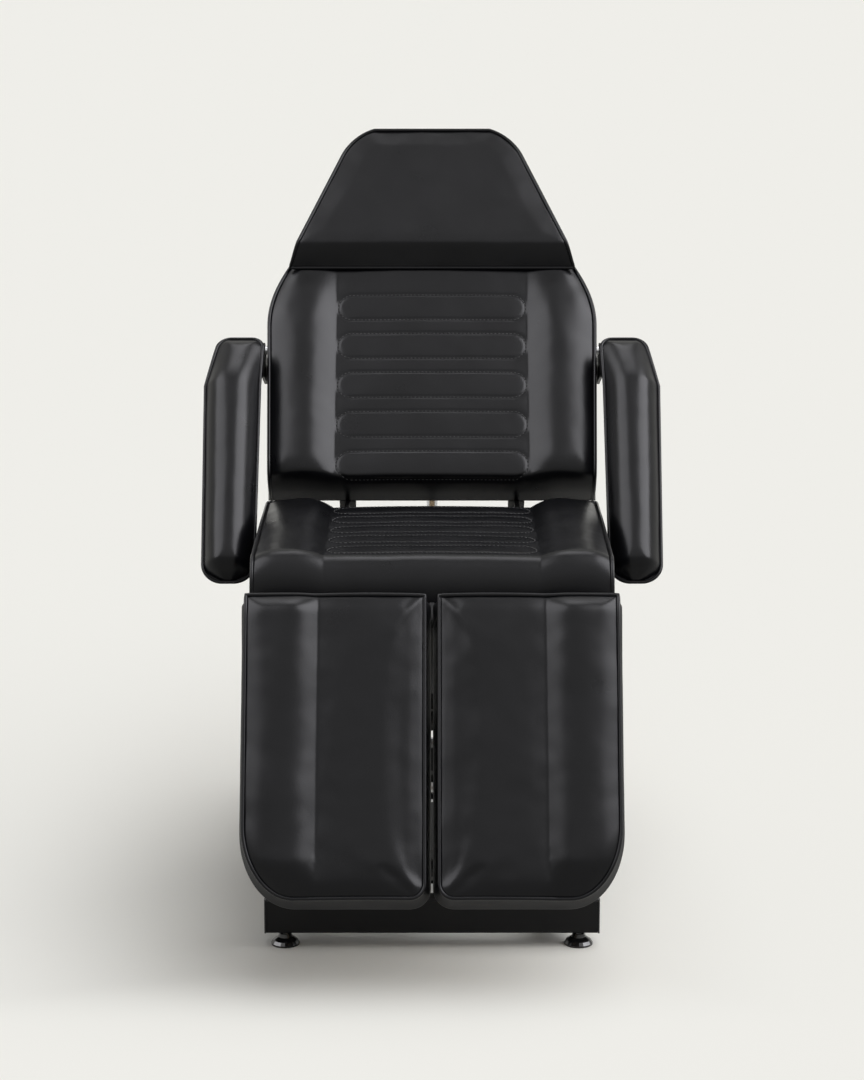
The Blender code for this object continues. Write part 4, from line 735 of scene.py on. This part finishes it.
# %% [markdown]
# ## Back cushion
#
# The back is one long pad: straight sides with tall soft rolls, round shoulders and a tapered head part
# that the pillow covers. Its outline is a formula of the distance from the lower end, and the grid's columns
# stay straight over the sewn panel before they close in towards the head. At the lower end the panel rolls
# over and down, so piping runs only along the sides and round the head.

# %% Back cushion outline
BACK_START = 0.054
BACK_LENGTH = 0.757
BACK_HALF = 0.2965
BACK_WIDENING = 0.008
BACK_BASE = -0.0236
BACK_FOAM = 0.063
BACK_ROLL = 0.021
BACK_FIRST = 0.035
SHOULDER_START = 0.33
SHOULDER_END = 0.460
HEAD_HALF = 0.268
HEAD_TAPER = 0.40
HEAD_CORNER = 0.065
BACK_RAMP = 0.054
BACK_WRAP = 0.0149
BACK_NOSE = 0.018
BACK_GRID = 0.0078
HEAD_GRID = 0.009
HEAD_STEPS = 12
BACK_CREASE_GRIP = 0.7
BACK_NOSE_GRIP = 0.5
HEAD_HELD = (0.40, 0.47)
COLUMNS_CLOSE = (0.43, 0.505)


def back_half(along):
    if along <= SHOULDER_START:
        return BACK_HALF + BACK_WIDENING * along / SHOULDER_START
    shoulder = BACK_HALF + BACK_WIDENING
    if along <= SHOULDER_END:
        t = (along - SHOULDER_START) / (SHOULDER_END - SHOULDER_START)
        return shoulder + (HEAD_HALF - shoulder) * t * t
    straight = HEAD_HALF - HEAD_TAPER * (along - SHOULDER_END)
    corner = along - (BACK_LENGTH - HEAD_CORNER)
    if corner <= 0:
        return straight
    reach = min(corner, HEAD_CORNER) / HEAD_CORNER
    return straight - HEAD_CORNER * (1 - math.sqrt(1 - reach * reach)) * (1 - HEAD_TAPER / 2)


def head_stations(end):
    """Stations over the head, closer together round its upper corners."""
    corner = BACK_LENGTH - HEAD_CORNER
    turns = [math.radians(90 * k / HEAD_STEPS) for k in range(1, HEAD_STEPS + 1)]
    found = through([SHOULDER_END, corner], HEAD_GRID)
    return found + [corner + (end - corner) * math.sin(turn) for turn in turns]


def back_height(x, along):
    edge = back_half(along)
    roll = convex_roll(abs(x), PANEL_HALF, BACK_RAMP, edge, BACK_ROLL)
    roll *= ease(-0.03, 0.05, along) * (1 - 0.8 * ease(SHOULDER_START, SHOULDER_END, along))
    crown = PANEL_CROWN * max(0.0, 1 - (x / PANEL_HALF) ** 2)
    return BACK_BASE + BACK_FOAM + roll + crown - edge_fall(edge - abs(x))


# %% Back cushion
def make_back():
    """The first rows climb straight from the board, and the next ones roll over the lower end."""
    foot = BACK_BASE - BACK_WRAP
    stations = [(0.0001 * k, 0.04 + 0.08 * k) for k in range(4)]
    for k in range(11):
        turn = math.radians(9 * k)
        stations.append((0.0004 + BACK_NOSE * (1 - math.cos(turn)), 0.36 + 0.64 * math.sin(turn)))
    low = [stations[-1][0]] + [m for m in seam_marks(BACK_FIRST) if m > stations[-1][0]]
    flat = through(low + [SHOULDER_END], BACK_GRID)[1:] + head_stations(BACK_LENGTH)[1:]
    stations += [(along, 1.0) for along in flat]
    columns = [0, OBLONG_HALF - OBLONG_HIGH / 2, OBLONG_HALF, PANEL_HALF + 0.004, PANEL_HALF + BACK_RAMP]
    crest = columns[-1]
    columns = mirrored(through(columns + [BACK_HALF - 0.03, BACK_HALF - 0.01, BACK_HALF], BACK_GRID))
    rows = []
    holds = []
    for along, lip in stations:
        half = back_half(along)
        closing = ease(*COLUMNS_CLOSE, along)
        row = []
        held = []
        for x in columns:
            outer = max(0.0, abs(x) - crest) / (BACK_HALF - crest)
            straight = min(abs(x), crest) + outer * max(0.004, half - crest)
            place = math.copysign(straight * (1 - closing) + abs(x) * half / BACK_HALF * closing, x)
            high = foot + lip * (back_height(place, along) - foot)
            row.append(Vector((place, BACK_START + along, high)))
            seam = held_near(off_seam(place, along, BACK_FIRST))
            crease = held_near(abs(place) - PANEL_HALF)
            sewn = max(SEAM_GRIP * seam, BACK_CREASE_GRIP * crease, ease(*HEAD_HELD, along))
            held.append(sewn if lip == 1.0 else BACK_NOSE_GRIP)
        rows.append(row)
        holds.append(held)
    pad, edge = cover("back_upholstery", rows, holds, lambda p: foot, flares=(0.006, 0.0, 0.0))
    stuffed(pad, pressure=4.0, most=0.006)
    refined(pad, lambda p: seam_groove(p.x, p.y - BACK_START, BACK_FIRST) if abs(p.x) < PANEL_HALF else 0.0)
    stitch_row("back_stitching", pad, BACK_FIRST, BACK_START, on_back, "back")
    settle_pad(pad, on_back, "back", "back_cushion")
    sides = edge[len(columns) - 1:] + edge[:1]
    piping("back_piping", sides, on_back, "back", closed=False)
    return pad


back_pad = make_back()
print("back points:", len(back_pad.data.vertices))

# %% [markdown]
# ## Head pillow
#
# The pillow is a wedge sewn onto the head part: proud at its lower edge, where a bevel tucks under to a piped
# seam, and thin at the crown. It repeats the head's outline a little smaller, so the back's own boxing
# shows as a thin line outside it.

# %% Head pillow
BACK_FACE = 0.0414
PILLOW_START = 0.452
PILLOW_BEVEL = 0.0374
PILLOW_LOW = 0.040
PILLOW_TOP = 0.020
PILLOW_INSET = 0.003
PILLOW_BASE = BACK_FACE + 0.0004
PILLOW_GRID = 0.0048
RIDGE_GRIP = 0.5


def pillow_height(x, along):
    climb = min(1.0, max(0.0, (along - PILLOW_START) / PILLOW_BEVEL))
    bevel = 0.05 + 0.95 * (1 - (1 - climb) ** 1.25)
    thin = (along - PILLOW_START) / (BACK_LENGTH - PILLOW_START)
    face = PILLOW_LOW + (PILLOW_TOP - PILLOW_LOW) * thin
    inward = min(back_half(along) - abs(x), BACK_LENGTH - along)
    return PILLOW_BASE + (face - edge_fall(inward, drop=0.0035, reach=0.014)) * bevel


def make_pillow():
    end = BACK_LENGTH - PILLOW_INSET
    stations = through([PILLOW_START, PILLOW_START + PILLOW_BEVEL], PILLOW_GRID)
    stations += [s for s in head_stations(end) if s > stations[-1] + 0.003]
    shares = mirrored(through([0, 0.7, 0.9, 0.97, 1.0], 0.04))
    rows = []
    holds = []
    for along in stations:
        half = back_half(along) - PILLOW_INSET
        rows.append([Vector((u * half, BACK_START + along, pillow_height(u * half, along))) for u in shares])
        ridge = held_near(along - PILLOW_START - PILLOW_BEVEL, reach=0.012)
        holds.append([RIDGE_GRIP * ridge] * len(shares))
    pad, edge = cover("pillow_upholstery", rows, holds, lambda p: PILLOW_BASE, flares=(0.001, 0.0, 0.0))
    stuffed(pad, pressure=1.2, most=0.0025)
    refined(pad)
    settle_pad(pad, on_back, "back", "head_pillow")
    piping("pillow_piping", edge, on_back, "back", out=0.0)
    return pad


pillow_pad = make_pillow()
print("pillow points:", len(pillow_pad.data.vertices))

# %% [markdown]
# ## Leg pads
#
# Each leg pad has one roll along its outer side and a low crown for the calf. Its foot end has a wide
# round corner outside and a small one inside. Both pads come from one function, and the side only mirrors x.

# %% Leg pads
LEG_START = 0.0246
LEG_LENGTH = 0.4924
LEG_INNER = 0.0115
LEG_OUTER = 0.301
LEG_WIDER = 0.003
LEG_BASE = 0.0304
LEG_FOAM = 0.055
LEG_ROLL = 0.019
LEG_CREASE = 0.184
LEG_RAMP = 0.042
LEG_WRAP = 0.0128
LEG_OUTER_CORNER = (0.080, 0.115)
LEG_INNER_CORNER = (0.024, 0.024)
LEG_BETWEEN = 0.0016
LEG_CROWN = 0.007
CROWN_MIDDLE = 0.098
LEG_LAP = (0.02, 0.08)
LEG_ROWS = 0.009
LEG_COLUMNS = 0.0075
LEG_CORNER_STEPS = 22
LEG_CREASE_GRIP = 0.75


def corner_cut(along, corner):
    wide, long = corner
    reach = min(1.0, max(0.0, (along - LEG_LENGTH + long) / long))
    return wide * (1 - math.sqrt(1 - reach * reach))


def leg_edges(along):
    outer = LEG_OUTER - LEG_WIDER * along / LEG_LENGTH
    return LEG_INNER + corner_cut(along, LEG_INNER_CORNER), outer - corner_cut(along, LEG_OUTER_CORNER)


def leg_height(x, along):
    inner, outer = leg_edges(along)
    roll = convex_roll(x, LEG_CREASE, LEG_RAMP, LEG_OUTER, LEG_ROLL)
    roll *= ease(-0.02, 0.03, along) * (1 - ease(LEG_LENGTH - 0.06, LEG_LENGTH, along))
    crown = LEG_CROWN * (1 - ((x - CROWN_MIDDLE) / CROWN_MIDDLE) ** 2)
    fall = edge_fall(min(x - inner, outer - x, along, LEG_LENGTH - along))
    return LEG_BASE + LEG_FOAM + roll + max(0.0, crown) - fall


def make_leg(hand, side):
    corner = LEG_LENGTH - LEG_OUTER_CORNER[1]
    turns = [math.radians(90 * k / LEG_CORNER_STEPS) for k in range(1, LEG_CORNER_STEPS + 1)]
    stations = through([0, 0.01, 0.03, corner], LEG_ROWS)
    stations += [corner + LEG_OUTER_CORNER[1] * math.sin(turn) for turn in turns]
    crest = LEG_CREASE + LEG_RAMP
    marks = [LEG_INNER, LEG_INNER + 0.01, LEG_INNER + 0.03, LEG_CREASE - 0.004, LEG_CREASE + 0.004, crest]
    columns = through(marks + [LEG_OUTER - 0.03, LEG_OUTER - 0.01, LEG_OUTER], LEG_COLUMNS)
    rows = []
    holds = []
    for along in stations[::-1]:
        inner, outer = leg_edges(along)
        closing = ease(corner, corner + 0.085, along)
        row = []
        held = []
        for x in columns:
            stretched = crest + (x - crest) * (max(outer, crest) - crest) / (LEG_OUTER - crest)
            kept = stretched if x > crest else x
            shared = inner + (x - LEG_INNER) * (outer - inner) / (LEG_OUTER - LEG_INNER)
            place = kept * (1 - closing) + shared * closing
            row.append(Vector((side * place, LEG_START - along, leg_height(place, along))))
            crease = held_near(place - LEG_CREASE)
            held.append(LEG_CREASE_GRIP * crease * (1 - ease(corner, LEG_LENGTH, along)))
        rows.append(row[::side])
        holds.append(held[::side])

    def leg_foot(place):
        """The cover laps the board's edge, but not beside the hinge, where it would touch the seat frame."""
        return LEG_BASE - LEG_WRAP * ease(*LEG_LAP, LEG_START - place.y)

    def between(place):
        """The boxing stops just short of the gap's middle."""
        place.x = side * max(LEG_BETWEEN, side * place.x)
        return place

    pad, edge = cover(f"{hand}_leg_upholstery", rows, holds, leg_foot,
                      flares=(0.010, 0.008, 0.0), limit=between)
    stuffed(pad, pressure=2.0, most=0.0028)
    refined(pad)
    settle_pad(pad, on_legs, f"{hand}_leg", f"{hand}_leg_cushion")
    piping(f"{hand}_leg_piping", edge, on_legs, f"{hand}_leg", out=0.0)
    return pad


SIDES = {hand: 1 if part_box(f"{hand}_leg_cushion")[1][0] > 0.1 else -1 for hand in ("left", "right")}
leg_pads = [make_leg(hand, side) for hand, side in SIDES.items()]
print("leg pad points:", [len(pad.data.vertices) for pad in leg_pads])

# %% [markdown]
# ## Armrest pads
#
# An armrest is a narrow pad that bends down towards its rear end. Its cover is domed and falls over the sides
# to a low piped rim, and the short boxing below it tucks in.

# %% Armrest pads
ARMREST_FRONT = -0.172
ARMREST_BEND = 0.224
ARMREST_REAR = 0.330
ARMREST_TOP = 0.131
ARMREST_DROP = 0.040
ARMREST_THICK = 0.057
ARMREST_INNER = 0.3145
ARMREST_WIDE = 0.094
ARMREST_WIDENING = 0.009
ARMREST_OUTER_TAPER = 0.022
ARMREST_INNER_TAPER = 0.004
ARMREST_FRONT_ROUND = 0.034
ARMREST_REAR_ROUND = 0.021
ARMREST_RIM = 0.040
ARMREST_SOFT = 0.050
ARMREST_REAR_RIM = 0.0128
ARMREST_SOFT_BEND = 0.022
ARMREST_REAR_SOFT = 0.03
ARMREST_ROUNDING = 2.8
ARMREST_FLATTER = 0.68
FLATTER_START = ARMREST_BEND - 0.03
ARMREST_INSET = 0.003
ARMREST_GRID = 0.0085
BEND_GRIP = 0.8


def armrest_line(along):
    """Height of the middle line: level, then a soft bend and a straight drop to the rear end."""
    past = along - ARMREST_BEND
    bent = (past + math.hypot(past, ARMREST_SOFT_BEND)) / 2
    return ARMREST_TOP - ARMREST_DROP * bent / (ARMREST_REAR - ARMREST_BEND)


def armrest_edges(along):
    spread = min(1.0, (along - ARMREST_FRONT) / (ARMREST_BEND - ARMREST_FRONT))
    past = max(0.0, along - ARMREST_BEND) / (ARMREST_REAR - ARMREST_BEND)
    outer = ARMREST_INNER + ARMREST_WIDE + ARMREST_WIDENING * spread - ARMREST_OUTER_TAPER * past
    return ARMREST_INNER - ARMREST_INNER_TAPER * past, outer


def armrest_dome(x, half, along):
    """How far the soft cover falls from the middle line towards its round outline."""
    front = ARMREST_FRONT_ROUND
    over = (abs(x) - half + front, ARMREST_FRONT + front - along)
    near = front - math.hypot(max(over[0], 0), max(over[1], 0)) - min(max(over), 0)
    flatter = 1 - ARMREST_FLATTER * ease(FLATTER_START, ARMREST_REAR, along)
    inward = min(1.0, max(0.0, near / ARMREST_SOFT))
    side_fall = ARMREST_RIM * flatter * (1 - inward) ** ARMREST_ROUNDING
    rear_fall = ARMREST_REAR_RIM * (1 - min(1.0, (ARMREST_REAR - along) / ARMREST_REAR_SOFT)) ** 2
    return max(side_fall, rear_fall)


def make_armrest(hand, side):
    front = ARMREST_FRONT_ROUND
    rear = ARMREST_REAR_ROUND
    stations = []
    for degrees in range(0, 90, 6):
        turn = math.radians(degrees)
        stations.append((ARMREST_FRONT + front * (1 - math.cos(turn)), front * (1 - math.sin(turn))))
    body = through([ARMREST_FRONT + front, ARMREST_BEND - 0.01, ARMREST_BEND, ARMREST_BEND + 0.01,
                    ARMREST_REAR - rear], ARMREST_GRID)
    stations += [(along, 0.0) for along in body]
    for degrees in range(9, 91, 9):
        turn = math.radians(degrees)
        stations.append((ARMREST_REAR - rear * (1 - math.sin(turn)), rear * (1 - math.cos(turn))))
    shares = mirrored(through([0, 0.5, 0.72, 0.86, 0.95, 0.985, 1.0], 0.1))
    rows = []
    holds = []
    for along, cut in stations:
        inner, outer = armrest_edges(along)
        half = (outer - inner) / 2
        row = []
        for u in shares:
            x = side * (inner + half) + u * (half - cut - ARMREST_INSET)
            row.append(Vector((x, along, armrest_line(along) - armrest_dome(u * half, half, along))))
        rows.append(row)
        bent = held_near(along - ARMREST_BEND, reach=0.008)
        holds.append([BEND_GRIP * bent] * len(shares))
    pad, edge = cover(f"{hand}_armrest_upholstery", rows, holds, lambda p: armrest_line(p.y) - ARMREST_THICK,
                      flares=(-0.006, -0.006, -0.006))
    stuffed(pad, pressure=3.0, most=0.004)
    refined(pad)
    settle_pad(pad, on_back, f"{hand}_armrest", f"{hand}_armrest_pad")
    piping(f"{hand}_armrest_piping", edge, on_back, f"{hand}_armrest", lift=0.0, out=0.001)
    return pad


armrest_pads = [make_armrest(hand, side) for hand, side in SIDES.items()]
print("armrest points:", [len(pad.data.vertices) for pad in armrest_pads])

# %% [markdown]
# ## Screws
#
# Button-head screws fix the tube frames of back and legs to their boards. They are small, so one turned
# profile is enough, and a ray from below finds the face of the tube that a screw sits on.

# %% Turned fasteners
SCREW_PROFILE = ((0.0022, 0.0016), (0.0022, 0.0032), (0.0045, 0.0027), (0.0055, 0.0010), (0.0055, -0.0006))
BELOW_FRAME = 0.3


def turned(bm, place, profile, sides=16):
    """A closed turned shape that stands on its place, with the profile given from the middle outwards."""
    rings = []
    turns = [2 * math.pi * k / sides for k in range(sides)]
    for radius, high in profile:
        ring = [Vector((radius * math.cos(turn), radius * math.sin(turn), high)) for turn in turns]
        rings.append([bm.verts.new(place @ point) for point in ring])
    bm.faces.new(rings[0])
    bm.faces.new(rings[-1][::-1])
    for inner, outer in zip(rings, rings[1:]):
        for k in range(sides):
            n = (k + 1) % sides
            bm.faces.new((inner[k], outer[k], outer[n], inner[n]))


def frame_screws(name, node, place, spots, body):
    """Screw heads on the outer face of a tube frame, at flat places under it."""
    solid = bpy.data.objects[node]
    surface = BVHTree.FromObject(solid, bpy.context.evaluated_depsgraph_get())
    into = solid.matrix_world.inverted()
    up = (place.to_3x3() @ Vector((0, 0, 1))).normalized()
    facing = (-up).to_track_quat("Z", "Y").to_matrix().to_4x4()
    bm = bmesh.new()
    found = 0
    for x, along in spots:
        start = place @ Vector((x, along, -BELOW_FRAME))
        hit = surface.ray_cast(into @ start, into.to_3x3() @ up)[0]
        if hit:
            turned(bm, Matrix.Translation(solid.matrix_world @ hit) @ facing, SCREW_PROFILE)
            found += 1
    print(name, "screws:", found)
    bmesh.ops.recalc_face_normals(bm, faces=bm.faces)
    return settle(as_object(name, bm), Matrix(), body, zinc)


# %% Screws under the back and the legs
BACK_TUBE_X = 0.156
BACK_SCREWS = (0.16, 0.30, 0.44, 0.57)
LEG_TUBES_X = (0.078, 0.235)
LEG_SCREWS = (0.12, 0.25, 0.38)

back_spots = [(x, along) for x in (-BACK_TUBE_X, BACK_TUBE_X) for along in BACK_SCREWS]
frame_screws("back_screws", "back_frame", on_back, back_spots, "back")
for hand, side in SIDES.items():
    leg_spots = [(side * x, -along) for x in LEG_TUBES_X for along in LEG_SCREWS]
    frame_screws(f"{hand}_leg_screws", f"{hand}_leg_frame", on_legs, leg_spots, f"{hand}_leg")

# %% [markdown]
# ## Floor, light and camera
#
# In the photograph the chair stands on warm white paper that fills the frame, with one soft main light from
# the right and light from all round. A wide sun lamp and an even world give the same light everywhere on the
# floor, so it stays plain and keeps the chair's soft shadow. Farther out, part of the floor's tone is its own
# and the shadow fades. Four more suns make gloss only: their diffuse light is off, and so is the main light's
# gloss.

# %% Floor
PAPER = (0.863, 0.855, 0.815)
FLOOR_REACH = 200.0
FLOOR_BELOW = 0.0005
# Axis, where the floor's own tone starts, where it is full, and its largest share
FADES = (("Y", -0.43, -0.70, 0.8), ("X", 0.34, 0.62, 0.66), ("X", -0.34, -0.9, 0.55))


def seen_rays(tree):
    """1 for camera, glossy and transmission rays, which see the paper itself."""
    path = tree.nodes.new("ShaderNodeLightPath")
    seen = wire(tree, "ShaderNodeMath", {0: path.outputs["Is Camera Ray"], 1: path.outputs["Is Glossy Ray"]},
                operation="MAXIMUM")
    seen = wire(tree, "ShaderNodeMath", {0: seen.outputs[0], 1: path.outputs["Is Transmission Ray"]},
                operation="MAXIMUM")
    return seen.outputs[0]


def paper_floor():
    """Lit paper that keeps the shadow. Away from the chair its own tone comes in, so the shadow fades."""
    made, tree, shader = start_finish("paper_floor")
    shader.inputs["Base Color"].default_value = (*PAPER, 1)
    shader.inputs["Roughness"].default_value = 1.0
    shader.inputs["Specular IOR Level"].default_value = 0.0
    place = wire(tree, "ShaderNodeTexCoord").outputs["Object"]
    axes = wire(tree, "ShaderNodeSeparateXYZ", {"Vector": place})
    fade = None
    for axis, near, far, most in FADES:
        reach = wire(tree, "ShaderNodeMapRange", {"Value": axes.outputs[axis], "From Min": near,
                                                  "From Max": far, "To Min": 0.0, "To Max": most},
                     interpolation_type="SMOOTHSTEP").outputs["Result"]
        if fade:
            reach = wire(tree, "ShaderNodeMath", {0: fade, 1: reach}, operation="MAXIMUM").outputs[0]
        fade = reach
    share = wire(tree, "ShaderNodeMath", {0: fade, 1: seen_rays(tree)}, operation="MULTIPLY")
    own = wire(tree, "ShaderNodeEmission", {"Color": (*PAPER, 1), "Strength": 1.0})
    mix = wire(tree, "ShaderNodeMixShader", {0: share.outputs[0], 1: shader.outputs[0], 2: own.outputs[0]})
    tree.links.new(mix.outputs[0], tree.nodes["Material Output"].inputs["Surface"])
    return made


sheet = bpy.data.meshes.new("studio_floor")
corners = [(FLOOR_REACH * x, FLOOR_REACH * y, 0) for x, y in ((-1, -1), (1, -1), (1, 1), (-1, 1))]
sheet.from_pydata(corners, [], [(0, 1, 2, 3)])
floor = linked("studio_floor", sheet)
floor.location.z = cad_box[0][2] - FLOOR_BELOW
sheet.materials.append(paper_floor())
print("floor at z", round(floor.location.z, 4))

# %% Lights
AMBIENT = 0.36
MAIN_SHARE = 0.64
MAIN_WIDTH = 80
MAIN_HEIGHT = 56
MAIN_TURN = 70
COOL_WHITE = (0.96, 0.955, 1.0)
# Name, strength, and width, height and turn in degrees
GLOSS_SUNS = (
    ("top_sheen", 0.58, 58, 54, 0),
    ("crown_sheen", 0.75, 24, 68, 180),
    ("right_sheen", 6.0, 52, 47, 80),
    ("left_sheen", 3.7, 52, 47, -80),
)


def studio_world():
    world = bpy.data.worlds.new("studio")
    world.use_nodes = True
    tree = world.node_tree
    even = wire(tree, "ShaderNodeBackground", {"Color": (1, 1, 1, 1), "Strength": AMBIENT})
    paper = wire(tree, "ShaderNodeBackground", {"Color": (*PAPER, 1), "Strength": 1.0})
    mix = wire(tree, "ShaderNodeMixShader", {0: seen_rays(tree), 1: even.outputs[0], 2: paper.outputs[0]})
    tree.links.new(mix.outputs[0], tree.nodes["World Output"].inputs["Surface"])
    bpy.context.scene.world = world


def soft_sun(name, strength, width, height, turn):
    """A wide, even light from a height in degrees, turned from the front to the right."""
    light = bpy.data.lights.new(name, "SUN")
    light.angle = math.radians(width)
    light.energy = strength
    lamp = linked(name, light)
    lamp.rotation_euler = (math.radians(90 - height), 0, math.radians(turn))
    return lamp


studio_world()
main_strength = MAIN_SHARE * math.pi / math.sin(math.radians(MAIN_HEIGHT))
main_light = soft_sun("main_light", main_strength, MAIN_WIDTH, MAIN_HEIGHT, MAIN_TURN)
main_light.visible_glossy = False
for values in GLOSS_SUNS:
    lamp = soft_sun(*values)
    lamp.visible_diffuse = False
    lamp.data.color = COOL_WHITE
print("lights:", main_light.name, [values[0] for values in GLOSS_SUNS])

# %% Camera
SENSOR_HEIGHT = 24.0
FOCAL_LENGTH = 60.69
CAMERA_PLACE = (0, -4.74722, 1.65)
CAMERA_TILT = 78

lens = bpy.data.cameras.new("camera")
lens.sensor_fit = "VERTICAL"
lens.sensor_height = SENSOR_HEIGHT
lens.lens = FOCAL_LENGTH
camera = linked("camera", lens)
camera.location = CAMERA_PLACE
camera.rotation_euler = (math.radians(CAMERA_TILT), 0, 0)
bpy.context.scene.camera = camera
bpy.context.scene.view_settings.view_transform = "Standard"
print("camera at", tuple(camera.location))
